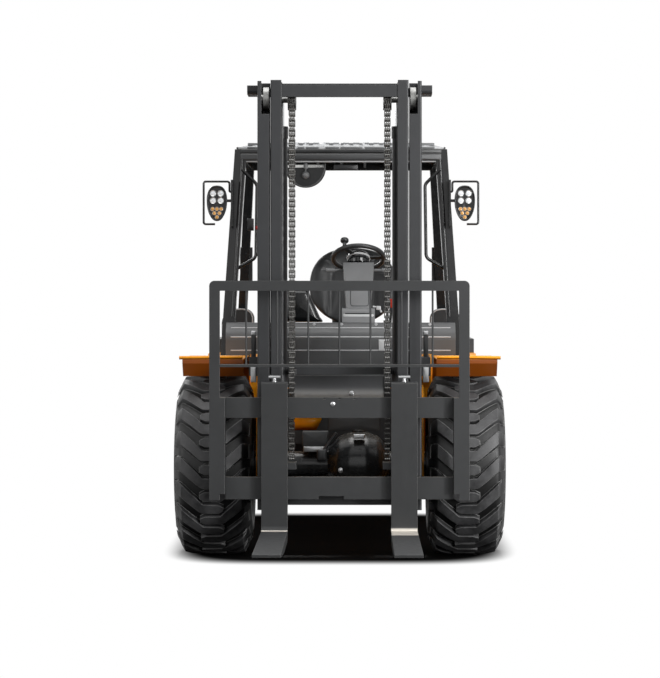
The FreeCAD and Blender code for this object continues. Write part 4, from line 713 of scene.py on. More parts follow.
def leaning(height, foot):
    """Y of a line that leans back 0.23 for each unit of height and passes foot at z 1.173."""
    return foot + 0.23 * (height - 1.173)


cushion_foot = 0.784
(bx0, by0, bz0), (bx1, by1, bz1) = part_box("seat_back")
middle, level = (bx0 + bx1) / 2, 1.385
reach, depth, turn = pillow(flat=0.42)
rise, side = np.sin(turn), np.cos(turn)
tall = np.where(rise >= 0, bz1 - 0.012 - level, level - bz0 - 0.004)
x = np.sign(side) * np.abs(side) ** 0.82 * 0.248 * reach
z = np.sign(rise) * np.abs(rise) ** 0.82 * tall * reach
x *= 1 - 0.16 * smooth(-z, 0.04, 0.21)
wing = smooth(np.abs(x), 0.115, 0.175) * (depth > 0) * 0.026 * smooth(0.21 - z, 0, 0.1)
y = leaning(level + z, cushion_foot) - depth * 0.042 - wing
back_shape = np.stack([middle + x, y, level + z], axis=-1)


def back_seams(p):
    """Sewn lines of the back: an arch 128 mm either side of the middle, and the rear shell side."""
    u, v = np.abs(p[:, 0] - middle), p[:, 2] - level
    arch = np.where(v < 0.06, np.abs(u - 0.128), np.abs(np.hypot(u / 0.128, (v - 0.06) / 0.085) - 1) * 0.1)
    front = p[:, 1] < leaning(p[:, 2], cushion_foot)
    return (front & (arch < 0.0042)) | (~front & (u < 0.16) & (np.abs(v) < 0.16))


padding("seat_back_cushion", back_shape, "engine_hood", vinyl, "seat_back", back_seams, 0.012)

(cx0, cy0, cz0), (cx1, cy1, cz1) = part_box("seat_cushion")
reach, depth, turn = pillow(flat=0.38)
rise, side = np.sin(turn), np.cos(turn)
x = np.sign(side) * np.abs(side) ** 0.45 * 0.226 * reach
y = np.sign(rise) * np.abs(rise) ** 0.45 * 0.192 * reach
bolster = smooth(np.abs(x), 0.115, 0.175) * (depth > 0) * 0.016 + smooth(-y, 0.1, 0.19) * (depth > 0) * 0.006
seat_shape = np.stack([middle + x, (cy0 + cy1) / 2 + y, (cz0 + cz1) / 2 - 0.008 + depth * 0.041 + bolster],
    axis=-1)


def seat_seams(p):
    """Sewn lines of the base: one each side, 128 mm from the middle, and the flat underside."""
    u = np.abs(p[:, 0] - middle)
    return ((p[:, 2] > (cz0 + cz1) / 2) & (np.abs(u - 0.128) < 0.0042)) | (p[:, 2] < cz0 + 0.012)


padding("seat_base_cushion", seat_shape[:, ::-1], "engine_hood", vinyl, "seat_cushion", seat_seams, 0.012)


# --- Mast fittings -----------------------------------------------------------------------------
# Small machined and bolted parts of the mast: fork locking knobs, zinc-plated covers over the
# tilt cylinder eyes, and the lift cylinders' hose ends.
def block(low, high, radius=0.004):
    """Box with rounded edges: a rounded rectangle in XZ carried from back to front, drawn in along
    a quarter circle at both ends and closed to its middle."""
    low, high = np.array(low, float), np.array(high, float)
    half = (high - low) / 2
    radius = min(radius, *(0.49 * 2 * half))
    turn = np.linspace(0, 2 * math.pi, 29)[:-1] + math.pi / 28
    cos, sin = np.cos(turn), np.sin(turn)
    tilt = np.linspace(0, math.pi / 2, 4)
    inset = np.concatenate([radius * (1 - np.sin(tilt)), radius * (1 - np.cos(tilt))])
    at = np.concatenate([high[1] - radius * (1 - np.cos(tilt)), low[1] + radius * (1 - np.sin(tilt))])
    x = np.sign(cos) * (half[0] - radius) + cos * (radius - inset[:, None])
    z = np.sign(sin) * (half[2] - radius) + sin * (radius - inset[:, None])
    rings = np.stack([x, np.broadcast_to(at[:, None], x.shape), z], axis=-1)
    rings[..., 0] += (low[0] + high[0]) / 2
    rings[..., 2] += (low[2] + high[2]) / 2
    ends = [np.broadcast_to(ring.mean(axis=0), ring.shape)[None] for ring in (rings[0], rings[-1])]
    return np.concatenate([ends[0], rings, ends[1]])


def turned(profile, base, axis, sides=24):
    """Solid of revolution: each (height, radius) of the profile is a ring round the axis at that
    height above the base, listed upwards and closed by rings of no radius."""
    along = np.array(axis, float) / np.linalg.norm(axis)
    across = np.cross([0.0, 0.0, 1.0] if abs(along[2]) < 0.9 else [1.0, 0.0, 0.0], along)
    across /= np.linalg.norm(across)
    third = np.cross(along, across)
    turn = np.linspace(0, 2 * math.pi, sides + 1)[:-1]
    rise, radius = np.array(profile, float).T
    rise, radius = np.concatenate([rise[:1], rise, rise[-1:]]), np.concatenate([[0], radius, [0]])
    spoke = np.cos(turn)[:, None] * across + np.sin(turn)[:, None] * third
    return np.array(base) + rise[:, None, None] * along + radius[:, None, None] * spoke


def tube(points, radius, sides=10):
    """Round bar along points: rings lie across the path's mean direction at each point, and the
    ends are closed to the path."""
    path_ = np.array(points, float)
    step = np.diff(path_, axis=0)
    step /= np.linalg.norm(step, axis=1, keepdims=True)
    along = np.concatenate([step[:1], step[1:] + step[:-1], step[-1:]])
    along /= np.linalg.norm(along, axis=1, keepdims=True)
    side = (np.array([0.31, 0.87, 0.38]) if np.abs(along @ np.array([0.31, 0.87, 0.38])).max() < 0.95
            else np.array([0.9, 0.1, 0.4]))
    across = np.cross(side, along)
    across /= np.linalg.norm(across, axis=1, keepdims=True)
    third = np.cross(along, across)
    turn = np.linspace(0, 2 * math.pi, sides + 1)[:-1]
    rings = path_[:, None] + radius * (np.cos(turn)[:, None] * across[:, None]
                                       + np.sin(turn)[:, None] * third[:, None])
    ends = [np.broadcast_to(path_[i], rings[0].shape)[None] for i in (0, -1)]
    return np.concatenate([ends[0], rings, ends[1]])


def hexagon(base, axis, across=0.009, tall=0.007):
    """Bolt head: a washer under a six-sided head with a chamfered top."""
    return [turned([(0, across * 1.25), (0.0016, across * 1.25)], base, axis),
            turned([(0.0016, across), (tall * 0.85, across), (tall, across * 0.86)], base, axis, sides=6)]


def touch(node, start, direction):
    """First point on a CAD node's surface from start along direction, or start if it is missed."""
    hit, point, _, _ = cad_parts[node].ray_cast(Vector(start), Vector(direction).normalized())
    return np.array(point if hit else start)


plated = bare_steel("zinc_plated_pressing", "#C9CACB", 0.36, 0.004, 0.0001)
ring_grey = moulded("satin_abs_pale_grey", "#B4B5B6", 0.3, 0.002, 0.0001)
for side, hand in (("left", 1), ("right", -1)):
    top = np.array([hand * 0.322, -1.030, 0.9135])
    knob = [turned([(0.0, 0.0125), (0.004, 0.0125), (0.006, 0.0088), (0.020, 0.0088)], top, (0, 0, 1)),
        turned([(0.0, 0.0065), (0.002, 0.0088), (0.057, 0.0088), (0.059, 0.0065)],
        top + np.array([-0.0295, 0, 0.0245]), (1, 0, 0), 20)]
    surface(f"fork_lock_knob_{side}", knob, plated, f"{side}_fork", "bright_steel")
    low_x, high_x = sorted((hand * 0.419, hand * 0.449))
    surface(f"tilt_eye_cover_{side}", [block((low_x, -0.858, 0.905), (high_x, -0.845, 0.990), 0.003),
        block((low_x + 0.003, -0.856, 1.142), (high_x - 0.003, -0.835, 1.164), 0.003)], plated,
        "mast_outer", "bright_steel")
    surface(f"tilt_eye_strap_{side}", [block((low_x + 0.003, -0.853, 0.990),
        (high_x - 0.003, -0.838, 1.142), 0.002)], black_moulding, "mast_outer", "mast_paint")
    surface(f"lift_port_{side}", [turned([(-0.001, 0.013), (0.012, 0.013), (0.014, 0.010), (0.022, 0.010)],
        (hand * 0.306, -0.696, 0.38), (0, 1, 0), sides=6)], plated, "mast_outer", "bright_steel")


def polished(material, near, far, colour, roughness, limit=0.6):
    """On upward faces between two places along Y, mix the coat with pale, part-metallic steel: partly
    rubbed-through wear, partly a painted highlight.
    """
    tree = material.node_tree
    place = add(tree, "ShaderNodeSeparateXYZ", Vector=add(tree, "ShaderNodeTexCoord").outputs["Object"])
    streak = add(tree, "ShaderNodeTexNoise", Vector=add(tree, "ShaderNodeTexCoord").outputs["Object"],
        Scale=1 / 0.004, Detail=3.0)
    up = add(tree, "ShaderNodeSeparateXYZ", Vector=add(tree, "ShaderNodeNewGeometry").outputs["Normal"])
    worn_and_highlight_band = add(tree, "ShaderNodeMapRange", Value=up.outputs["Z"], From_Min=limit, From_Max=limit + 0.15)
    for low, high in ((near - 0.004, near + 0.004), (far + 0.004, far - 0.004)):
        part = add(tree, "ShaderNodeMapRange", Value=place.outputs["Y"], From_Min=low, From_Max=high)
        worn_and_highlight_band = add(tree, "ShaderNodeMath", {"operation": "MULTIPLY"}, i0=worn_and_highlight_band.outputs[0], i1=part.outputs[0])
    gloss = add(tree, "ShaderNodeMapRange", Value=streak.outputs["Fac"], To_Min=roughness * 0.7,
        To_Max=roughness * 1.4)
    bright = add(tree, "ShaderNodeBsdfPrincipled", Base_Color=linear(colour), Metallic=0.4,
        Roughness=gloss.outputs[0])
    output = next(node for node in tree.nodes if node.type == "OUTPUT_MATERIAL")
    below = output.inputs["Surface"].links[0].from_socket
    mixed = add(tree, "ShaderNodeMixShader", Fac=worn_and_highlight_band.outputs[0], i1=below, i2=bright.outputs[0])
    tree.links.new(mixed.outputs[0], output.inputs["Surface"])


# pale bands on the fork heels, partly rubbed wear and partly a painted highlight; their places and slopes
# differ from fork to fork
for side, near, far, facing in (("left", -1.250, -1.058, 0.25), ("right", -1.078, -1.056, 0.72)):
    fork_coat = coated(f"forged_fork_coat_{side}", "#222324", "#6C6D6E", roughness=0.5, paler_share=0.6, dusty=0.1)
    polished(fork_coat, near, far, "#E4DDD2", 0.42, facing)
    wear([f"fork_{side}"], fork_coat)


# --- Cowl and steering -------------------------------------------------------------------------
# Cowl bolts and blank plate, with pale lines along the cowl's ledges as painted highlights; the column's base
# box and latch, with a black line round its panel as the painted shade of its groove; the handwheel's rubber
# grip, three spokes, horn pad with a pale ring as a painted highlight, and spinner knob; a console and a
# red-tipped lever.
bolts, painted_ledge_highlights = [], []
for x in (-0.141, 0.005, 0.189, 0.476):
    at = touch("cowl", (x, -0.5, 1.185), (0, 1, 0))
    bolts += hexagon(at, (0, -1, 0), 0.0075, 0.008)
surface("cowl_bolts", bolts, plated, "chassis", "bright_steel")
# pale grey lines along the cowl's three ledges, as painted highlights
for z in (1.168, 1.120, 1.049):
    x = np.linspace(-0.585, 0.585, 25)
    y = touch("cowl", (0.1, -0.5, z), (0, 1, 0))[1]
    painted_ledge_highlights.append(tube(np.stack([x, np.full(25, y + 0.001), np.full(25, z)], axis=-1), 0.0034))
surface("cowl_swages", painted_ledge_highlights, ring_grey, "chassis", "black_plastic")
panel = touch("cowl", (0.23, -0.5, 1.077), (0, 1, 0))[1]
surface("cowl_blank_plate", [block((0.202, panel - 0.004, 1.047), (0.262, panel + 0.001, 1.107), 0.0015)],
    ring_grey, "chassis", "black_plastic")


cowl_shelf = 1.1955


def face(x, z):
    """Point on the column cover's front at x and z."""
    return touch("steering_column", (x, -0.6, z), (0, 1, 0))


# a black line round the column panel, as the painted shade of its groove
u_path = [(0.052, 1.405), (0.052, 1.296), (0.056, 1.288), (0.064, 1.284), (0.138, 1.284), (0.146, 1.288),
    (0.150, 1.296), (0.150, 1.405)]
groove = tube([face(x, z) + np.array([0, 0.0006, 0]) for x, z in u_path], 0.0022)
surface("column_panel_groove_painted_shade", [groove], black_moulding, "chassis", "black_plastic")
column = face(0.095, 1.25)[1]
surface("column_base_box", [block((0.012, column - 0.012, cowl_shelf), (0.178, column + 0.10, 1.240), 0.006)],
    ring_grey, "chassis", "black_plastic")
surface("column_base_gasket", [block((0.024, column - 0.006, 1.2385), (0.166, column + 0.09, 1.2475),
    0.002)], black_moulding, "chassis", "black_plastic")
(wx0, wy0, wz0), (wx1, wy1, wz1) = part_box("steering_wheel")
rim_tube = 0.013
grip_radius = (wx1 - wx0) / 2 - rim_tube
slope = math.asin(((wz1 - wz0) / 2 - rim_tube) / grip_radius)
shaft = np.array([0, math.sin(slope), math.cos(slope)])
upward = np.array([0, -math.cos(slope), math.sin(slope)])
hub = np.array([(wx0 + wx1) / 2, wy0 + rim_tube + grip_radius * math.cos(slope), (wz0 + wz1) / 2])
pad = turned([(-0.052, 0.040), (-0.047, 0.053), (-0.034, 0.060), (-0.012, 0.062), (0.012, 0.058),
    (0.022, 0.050), (0.027, 0.036), (0.029, 0.016)], hub, shaft, 40)
surface("horn_pad", [pad], tray_black, "handwheel", "black_plastic")
# a pale grey ring on the horn pad's rim, as a painted highlight
surface("horn_pad_highlight_ring", [turned([(-0.010, 0.060), (-0.008, 0.0645), (0.002, 0.0645), (0.004, 0.058)], hub,
    shaft, 40)], ring_grey, "handwheel", "black_plastic")
rubber_grip = moulded("grained_polyurethane_grip", "#202122", 0.42, 0.0014, 0.0002)
spokes = []
spoke_turns = np.radians([-33, 87, 207])
for angle in spoke_turns:
    outward = math.sin(angle) * np.array([1.0, 0, 0]) + math.cos(angle) * upward
    spokes.append(block((-0.013, 0.030, -0.005), (0.013, grip_radius, 0.005),
        0.003) @ np.stack([np.cross(outward, shaft), outward, shaft]) + hub)
boss = turned([(-0.026, 0.032), (-0.024, 0.034), (0.012, 0.034), (0.014, 0.032)], hub, shaft, 40)
ring_angle = np.linspace(0, 2 * math.pi, 65)
ring_path = hub + grip_radius * (np.cos(ring_angle)[:, None] * np.array([1.0, 0, 0])
                                 + np.sin(ring_angle)[:, None] * upward)
grip = surface("wheel_grip", [tube(ring_path, rim_tube, 16)], rubber_grip, "handwheel", "black_plastic")
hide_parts("steering_wheel")
surface("wheel_spokes", spokes + [boss], black_moulding, "handwheel", "black_plastic")
knob_turn = spoke_turns[0]
spot = hub + grip_radius * (math.sin(knob_turn) * np.array([1.0, 0, 0]) + math.cos(
    knob_turn) * upward) + shaft * 0.008
spinner = turned([(0.0, 0.012), (0.012, 0.0105), (0.022, 0.0105), (0.026, 0.019), (0.032, 0.0225),
    (0.042, 0.0225), (0.047, 0.019), (0.049, 0.010)], spot, shaft, 32)
surface("spinner_knob", [spinner], black_moulding, "handwheel", "black_plastic")
console = block((-0.309, 0.045, cowl_shelf), (-0.168, 0.125, 1.371), 0.030)
spread = 1 - (console[..., 2] - cowl_shelf) / 0.1755
console[..., 0] += np.where(console[..., 0] > -0.24, 0.090, 0.0) * spread ** 3
surface("side_console", [console], tray_black, "chassis", "black_plastic")
lever_top = touch("cowl", (0.287, -0.02, 1.6), (0, 0, -1))
red_grip = moulded("gloss_abs_red", "#C8321C", 0.25, 0.004, 0.0001)
surface("lever_stem", [turned([(0.0, 0.009), (0.006, 0.009), (0.008, 0.0045), (0.088, 0.0045)],
    lever_top + np.array([0, 0, 0.0003]), (0, 0, 1))], black_moulding, "chassis", "black_plastic")
surface("lever_tip", [turned([(0.088, 0.006), (0.092, 0.0105), (0.104, 0.012), (0.114, 0.0095),
    (0.118, 0.004)], lever_top, (0, 0, 1))], red_grip, "chassis", "black_plastic")
bracket = face(0.16, 1.265)
surface("column_latch", [block((0.190, bracket[1], 1.262), (0.216, bracket[1] + 0.03, 1.284), 0.005),
    tube([(0.172, bracket[1] + 0.015, 1.281), (0.204, bracket[1] + 0.012, 1.276),
    (0.219, bracket[1] + 0.010, 1.250)], 0.0055)], ring_grey, "chassis", "black_plastic")


# --- Seat shell --------------------------------------------------------------------------------
# Blow-moulded seat shell behind the back cushion and pressed slide pan under the base cushion.
reach, depth, turn = pillow(rows=31, flat=0.5)
rise, side = np.sin(turn), np.cos(turn)
x = np.sign(side) * np.abs(side) ** 0.82 * 0.245 * reach
z = np.sign(rise) * np.abs(rise) ** 0.82 * np.where(rise >= 0, 0.212, 0.205) * reach
x *= 1 - 0.16 * smooth(-z, 0.04, 0.21)
shell = np.stack([middle + x, leaning(level + z, 0.852) - depth * 0.022, level + z], axis=-1)
(ux0, uy0, uz0), (ux1, uy1, uz1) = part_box("seat_frame")
rails = [block((ux0, uy0 + 0.01, uz0), (ux1, uy0 + 0.38, uz0 + 0.034), 0.01),
         block((middle - 0.12, 0.79, uz0 + 0.01), (middle + 0.12, 0.845, 1.30), 0.012),
         block((ux0 + 0.03, uy0 + 0.03, uz0), (ux0 + 0.07, uy0 + 0.37, uz0 + 0.036), 0.006),
         block((middle - 0.11, 0.74, uz0 + 0.005), (middle + 0.11, 0.80, uz0 + 0.034), 0.008)]
pan = surface("seat_shell", [shell] + rails, black_moulding, "engine_hood", "black_plastic")
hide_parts("seat_frame")


# --- Guard fittings ----------------------------------------------------------------------------
# Clear ribbed roof sheet with its trim and clips; on the beam a pale line and a lighter band as painted
# highlights under a black strip as painted shade; post mouldings, switch and relay boxes, mirror rim, ball
# and glass, marker reflector, tail lenses, and pale rims along the side covers as painted highlights.
def clear_sheet(name, colour, roughness, through):
    """Clear moulded sheet: tinted gloss plastic that passes light, hazed by fine scratches."""
    material, tree, out, place = new_material(name)
    haze = add(tree, "ShaderNodeTexNoise", Vector=place, Scale=1 / 0.03, Detail=6.0)
    gloss = add(tree, "ShaderNodeMapRange", Value=haze.outputs["Fac"], To_Min=roughness * 0.6,
        To_Max=roughness * 1.6)
    tint = add(tree, "ShaderNodeMix", {"data_type": "RGBA"}, Factor=haze.outputs["Fac"],
               i6=linear(colour), i7=linear(colour, 0.85))
    surface = add(tree, "ShaderNodeBsdfPrincipled", Base_Color=tint.outputs[2], Roughness=gloss.outputs[0],
        Transmission_Weight=through)
    tree.links.new(surface.outputs[0], out.inputs["Surface"])
    return material


sheet_clear = clear_sheet("extruded_polycarbonate_clear", "#A2A4A6", 0.5, 0.12)
(rx0, ry0, rz0), (rx1, ry1, rz1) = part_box("roof_cover")
u = np.linspace(rx0 + 0.004, rx1 - 0.004, 337)
v = np.linspace(ry0 + 0.004, ry1 - 0.004, 40)
rib = smooth(np.abs(((u / 0.055 + 0.5) % 1.0) - 0.5), 0.14, 0.24)
dome = (1 - (u / rx1) ** 6)[None, :] * (1 - (np.abs(v - (ry0 + ry1) / 2) / (ry1 - ry0) * 2) ** 8)[:, None]
high = rz0 + 0.012 + dome * (0.026 + 0.011 * rib[None, :])
top = np.stack([np.broadcast_to(u, dome.shape), np.broadcast_to(v[:, None], dome.shape), high], axis=-1)
under = top - np.array([0, 0, 0.005])
edge = [np.concatenate([top[:, :1] - [0.003, 0, 0.0025], top, top[:, -1:] + [0.003, 0, -0.0025],
    under[:, ::-1]], axis=1)]
ring = edge[0]
ends = [np.broadcast_to(ring[i].mean(axis=0), ring[i].shape)[None] * [0, 1, 1]
        + ring[i][None] * [1, 0, 0] for i in (0, -1)]
roof = surface("roof_sheet", [np.concatenate([ends[0], ring, ends[1]])[::-1]], sheet_clear, "chassis",
    "roof_plastic")
trim = [block((rx0, ry0, rz0), (rx1, ry0 + 0.012, rz0 + 0.012), 0.003),
    block((rx0, ry1 - 0.012, rz0), (rx1, ry1, rz0 + 0.012), 0.003),
    block((rx0, ry0, rz0), (rx0 + 0.012, ry1, rz0 + 0.012), 0.003),
    block((rx1 - 0.012, ry0, rz0), (rx1, ry1, rz0 + 0.012), 0.003)]
surface("roof_sheet_trim", trim, ring_grey, "chassis", "roof_plastic")
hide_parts("roof_cover")
stops = []
for low_x, high_x in ((-0.51, -0.40), (-0.39, -0.25), (-0.236, -0.199), (-0.190, -0.121), (-0.084, -0.011),
        (-0.002, 0.118), (0.131, 0.242), (0.255, 0.39), (0.40, 0.51)):
    stops += [block((low_x, ry0 - 0.005, 2.1395), (high_x, ry0 + 0.004, 2.151), 0.002),
              block((low_x, ry0 + 0.036, 2.156), (high_x, ry0 + 0.050, 2.174), 0.003)]
surface("roof_edge_clips", stops, grey_moulding, "chassis", "roof_plastic")

beam = touch("overhead_guard", (0.3, -0.5, 2.085), (0, 1, 0))[1]
# a pale grey line along the beam's front, as a painted highlight
surface("guard_beam_highlight_line", [tube([(-0.575, beam, 2.070), (-0.2, beam, 2.070), (0.2, beam, 2.070),
    (0.575, beam, 2.070)], 0.0036)], ring_grey, "chassis", "black_plastic")
# a lighter grey band on the beam's lower part, as a painted highlight
surface("guard_beam_painted_highlight_band", [block((-0.548, beam - 0.011, 2.076), (0.548, beam + 0.002, 2.113), 0.010)],
    forged, "chassis", "mast_paint")
# a black strip on the beam's upper part, as painted shade
surface("guard_beam_painted_shade_strip", [block((-0.548, beam - 0.006, 2.115), (0.548, beam + 0.002, 2.135), 0.003)],
    black_moulding, "chassis", "black_plastic")
mouldings = []
for hand in (1, -1):
    path_ = []
    for z in np.linspace(2.088, 1.225, 9):
        at = touch("overhead_guard", (hand * (0.538 + 0.0578 * (2.088 - z)), -0.6, z), (0, 1, 0))
        path_.append(at + np.array([0, 0.004, 0]))
    mouldings.append(tube(path_, 0.011, 14))
surface("guard_post_mouldings", mouldings, enamel, "chassis", "mast_paint")
surface("guard_switch_box", [block((-0.04, beam + 0.02, 2.024), (0.092, beam + 0.08, 2.054), 0.004)],
    black_moulding, "chassis", "black_plastic")
(mx0, my0, mz0), (mx1, my1, mz1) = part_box("interior_mirror")
middle_x, radius = (mx0 + mx1) / 2, (mx1 - mx0) / 2 - 0.004
arc = np.linspace(0, -math.pi, 33)
rim_path = np.stack([middle_x + radius * np.cos(arc), np.full(33, my0 + 0.001),
    mz1 - 0.006 + (mz1 - mz0 - 0.010) * np.sin(arc)], axis=-1)
surface("mirror_rim", [tube(rim_path, 0.0045)], graphite, "chassis", "mirror_shell")
surface("mirror_ball", [turned([(-0.021, 0.004), (-0.017, 0.012), (-0.01, 0.018), (0.0, 0.021),
    (0.01, 0.018), (0.017, 0.012), (0.021, 0.004)], (middle_x, my0 - 0.012, 1.997), (0, 0, 1)),
    turned([(0.0, 0.004), (0.036, 0.004), (0.037, 0.011), (0.066, 0.011)], (middle_x, my0 - 0.012, 1.995),
    (0, 0, 1))], grey_moulding, "chassis", "mirror_shell")
surface("mirror_glass", [stacked(np.stack([np.cos(arc), np.sin(arc)], axis=-1) * [radius * 0.93,
    (mz1 - mz0) * 0.88], (middle_x, mz1 - 0.012), [(0.0, my1 + 0.0008), (0.96, my1 + 0.0008),
    (1.0, my1 + 0.0002)])], cup_metal, "chassis", "mirror_shell")
red_lens = clear_sheet("moulded_acrylic_red", "#B3140D", 0.14, 0.25)
clear_lens = clear_sheet("moulded_acrylic_clear", "#E9ECEE", 0.12, 0.4)
surface("marker_reflector", [turned([(0.0, 0.011), (0.004, 0.011), (0.008, 0.008), (0.010, 0.003)],
    (-0.455, 0.118, 1.708), (0, -1, 0))], red_lens, "chassis", "tail_lens")
surface("marker_stem", [turned([(-0.03, 0.004), (0.0, 0.004)], (-0.455, 0.118, 1.708), (0, -1, 0))],
    black_moulding, "chassis", "black_plastic")
surface("guard_relay_box", [block((-0.512, 0.15, 1.694), (-0.476, 0.20, 1.760), 0.004)], black_moulding,
    "chassis", "black_plastic")
for side, hand in (("left", 1), ("right", -1)):
    low_x, high_x = (0.529, 0.595) if hand > 0 else (-0.595, -0.529)
    for title, low_z, high_z, lens in (("stop", 1.556, 1.616, red_lens), ("turn", 1.492, 1.552, amber_led),
            ("reverse", 1.424, 1.488, clear_lens)):
        surface(f"tail_{title}_lens_{side}", [block((low_x, 1.199, low_z), (high_x, 1.210, high_z), 0.004)],
            lens, "chassis", "tail_lens")
    # a pale grey tube along each side cover's rounded edge, as a painted highlight
    outline = [(0.520, 1.002), (0.520, 1.10), (0.520, 1.21), (0.530, 1.238), (0.552, 1.254), (0.58, 1.259),
        (0.62, 1.257), (0.655, 1.238), (0.682, 1.205), (0.694, 1.165), (0.696, 1.10), (0.696, 1.002)]
    path_ = [(hand * x, 1.046, z) for x, z in outline]
    surface(f"side_cover_highlight_rim_{side}", [tube(path_ if hand > 0 else path_[::-1], 0.0042)], ring_grey,
        "chassis", "black_plastic")


# --- Axle and hub fittings ---------------------------------------------------------------------
# Boss and level plug on the drive axle, the brake junction and its linkage, the front apron with
# its bolt, the carriage's plug, blank plates on the front cross wall, and the wheel nuts.
bosses = [block((0.068, -0.60, 0.606), (0.128, -0.555, 0.628), 0.004)]
plug_at = touch("front_axle", (0.003, -1.0, 0.443), (0, 1, 0))
plug = [turned([(-0.002, 0.014), (0.003, 0.014), (0.005, 0.011)], plug_at, (0, -1, 0), 24),
        turned([(0.003, 0.008), (0.009, 0.008), (0.010, 0.006)], plug_at, (0, -1, 0), 6)]
surface("axle_boss_and_plug", bosses + plug, plated, "chassis", "bright_steel")
surface("brake_junction", [block((-0.195, -0.545, 0.562), (-0.062, -0.455, 0.640), 0.004)], graphite,
    "chassis", "axle_paint")
surface("brake_junction_foot", [block((-0.190, -0.552, 0.534), (-0.058, -0.448, 0.562), 0.003)], plated,
    "chassis", "bright_steel")
linkage = [tube([(-0.018, -0.60, 0.636), (-0.050, -0.60, 0.592), (-0.084, -0.60, 0.546)], 0.0085),
           block((-0.120, -0.612, 0.492), (-0.066, -0.585, 0.552), 0.010),
           tube([(-0.068, -0.602, 0.548), (-0.030, -0.606, 0.580), (-0.006, -0.604, 0.602)], 0.006)]
surface("brake_linkage", linkage, forged, "chassis", "axle_paint")
wall_y = -0.3055
sweep = np.linspace(0, math.pi / 2, 16)
hollow = np.stack([-0.318 - 0.100 * (1 - np.cos(sweep)), 0.920 - 0.110 * np.sin(sweep)], axis=-1)
profile = np.concatenate([hollow, [(-0.420, 0.806), (-0.420, 0.786), (wall_y, 0.786), (wall_y, 0.920)]])
apron = np.stack([np.stack([np.full(len(profile), x), profile[:, 0], profile[:, 1]],
    axis=-1) for x in (-0.245, -0.245, 0.0, 0.228, 0.228)])
apron[0], apron[-1] = apron[1].mean(axis=0), apron[-2].mean(axis=0)
surface("front_apron", [apron[:, ::-1]], charcoal, "chassis", "mast_paint")
surface("apron_bolt", [turned([(-0.02, 0.013), (0.012, 0.013), (0.015, 0.010), (0.016, 0.004)],
    (0.0595, -0.365, 0.828), (0, -1, 0), 24)], plated, "chassis", "bright_steel")
plane = touch("carriage", (-0.075, -1.5, 0.803), (0, 1, 0))[1]
surface("carriage_plug", [turned([(-0.012, 0.012), (0.002, 0.012), (0.004, 0.010), (0.005, 0.004)],
    (-0.033, plane, 0.803), (0, -1, 0), 24)], plated, "fork_carriage", "bright_steel")
plate_orange = np.array([(-0.100, 0.700), (-0.099, 0.690), (-0.127, 0.634), (-0.244, 0.634),
    (-0.245, 0.700)])[::-1]
flat_plate = np.stack([np.stack([plate_orange[:, 0], np.full(5, y), plate_orange[:, 1]],
    axis=-1) for y in (wall_y, wall_y, -0.3115, -0.3115)])
flat_plate[0] = flat_plate[1].mean(axis=0)
flat_plate[3] = flat_plate[2].mean(axis=0)
surface("wall_plate_orange", [flat_plate], orange, "chassis", "orange_paint", smooth=False)
surface("wall_plate_grey", [block((-0.062, -0.311, 0.632), (0.205, wall_y, 0.702), 0.002)], graphite,
    "chassis", "mast_paint")
for end, count, ring_radius in (("front", 8, 0.088), ("rear", 6, 0.070)):
    for side, hand in (("left", 1), ("right", -1)):
        (x0, y0, z0), (x1, y1, z1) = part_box(f"{end}_rim_{side}")
        centre = np.array([(x0 + x1) / 2, (y0 + y1) / 2, (z0 + z1) / 2])
        nuts = []
        for angle in np.linspace(0, 2 * math.pi, count + 1)[:-1]:
            spot = centre + ring_radius * np.array([0, math.cos(angle), math.sin(angle)])
            at = touch(f"{end}_rim_{side}", spot + np.array([hand * 0.3, 0, 0]), (-hand, 0, 0))
            nuts += hexagon(at, (hand, 0, 0), 0.014, 0.018)
            nuts.append(turned([(0.016, 0.008), (0.026, 0.008), (0.027, 0.007)], at, (hand, 0, 0), 12))
        surface(f"{end}_wheel_nuts_{side}", nuts, plated, f"{end}_wheel_{side}", "bright_steel")


# --- Operator's steps and stowage --------------------------------------------------------------
# Ribbed rubber treads bonded to the tank tops, the fenders' rolled front beads, louvres in the
# hood's sides, the counterweight's eye bolts, a screwed fuel cap and the seat belt buckle.
def deck(node, x, y):
    """Height of a CAD node's top at a place in plan."""
    return touch(node, (x, y, 3.0), (0, 0, -1))[2]


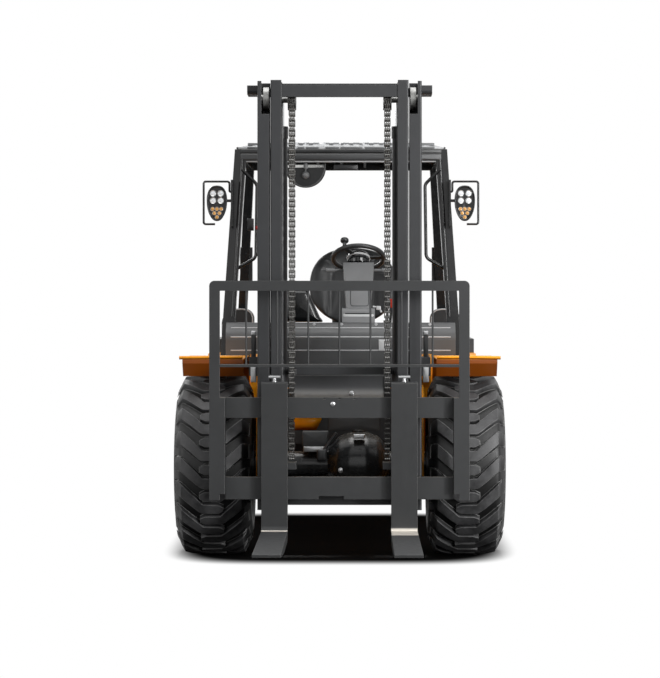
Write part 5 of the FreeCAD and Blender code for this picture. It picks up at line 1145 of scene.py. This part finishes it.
rubber_mat = moulded("ribbed_rubber_mat", "#232324", 0.62, 0.003, 0.0003)
(tx0, ty0, tz0), (tx1, ty1, tz1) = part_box("step_tanks")
for side, hand in (("left", 1), ("right", -1)):
    high = deck("step_tanks", hand * 0.70, ty0 + 0.30)
    low_x, high_x = sorted((hand * 0.615, hand * 0.775))
    ribs = [block((low_x, ty0 + 0.10, high - 0.001), (high_x, ty0 + 0.46, high + 0.004), 0.002)]
    ribs += [block((low_x + 0.008, y, high + 0.003), (high_x - 0.008, y + 0.008, high + 0.008),
        0.002) for y in np.arange(ty0 + 0.115, ty0 + 0.445, 0.020)]
    surface(f"step_tread_{side}", ribs, rubber_mat, "chassis", "black_plastic")
    (fx0, fy0, fz0), (fx1, fy1, fz1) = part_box("front_fenders")
    start, stop = hand * 0.493, hand * (fx1 + 0.016)
    surface(f"fender_bead_{side}", [tube([(start, fy0 + 0.004, fz1 + 0.006),
        ((start + stop) / 2, fy0 + 0.004, fz1 + 0.006), (stop, fy0 + 0.004, fz1 + 0.004)], 0.009, 16)],
        orange, "chassis", "orange_paint")
    slit_low, slit_high = sorted((hand * 0.498, hand * 0.507))
    louvres = [block((slit_low, 0.62, z), (slit_high, 0.98, z + 0.010), 0.003) for z in (0.84, 0.865, 0.89,
        0.915)]
    surface(f"hood_louvres_{side}", louvres, black_moulding, "engine_hood", "black_plastic")
eyes = []
for x in (-0.46, 0.46):
    foot = np.array([x, 1.70, deck("counterweight", x, 1.70)])
    eyes.append(turned([(-0.004, 0.030), (0.008, 0.030), (0.012, 0.022), (0.020, 0.014)], foot, (0, 0, 1),
        28))
    ring_turn = np.linspace(0, 2 * math.pi, 29)
    eyes.append(tube(foot + np.array([0, 0, 0.046]) + 0.026 * (
        np.cos(ring_turn)[:, None] * np.array([1.0, 0, 0])
        + np.sin(ring_turn)[:, None] * np.array([0, 0, 1.0])), 0.009, 12))
surface("counterweight_eye_bolts", eyes, forged, "chassis", "cast_paint")
cap_z = deck("step_tanks", 0.70, 0.86)
surface("fuel_cap", [turned([(-0.002, 0.034), (0.006, 0.034), (0.008, 0.042), (0.026, 0.042),
    (0.032, 0.036), (0.034, 0.012)], (0.70, 0.86, cap_z), (0, 0, 1), 36),
    block((0.668, 0.855, cap_z + 0.030), (0.732, 0.865, cap_z + 0.040), 0.003)], black_moulding, "chassis",
    "black_plastic")
surface("belt_buckle_stalk", [tube([(0.262, 0.52, 1.10), (0.274, 0.515, 1.19), (0.279, 0.51, 1.275)],
    0.008)], black_moulding, "engine_hood", "black_plastic")
surface("belt_buckle", [block((0.266, 0.498, 1.270), (0.292, 0.520, 1.322), 0.006)], red_grip,
    "engine_hood", "black_plastic")


low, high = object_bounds()
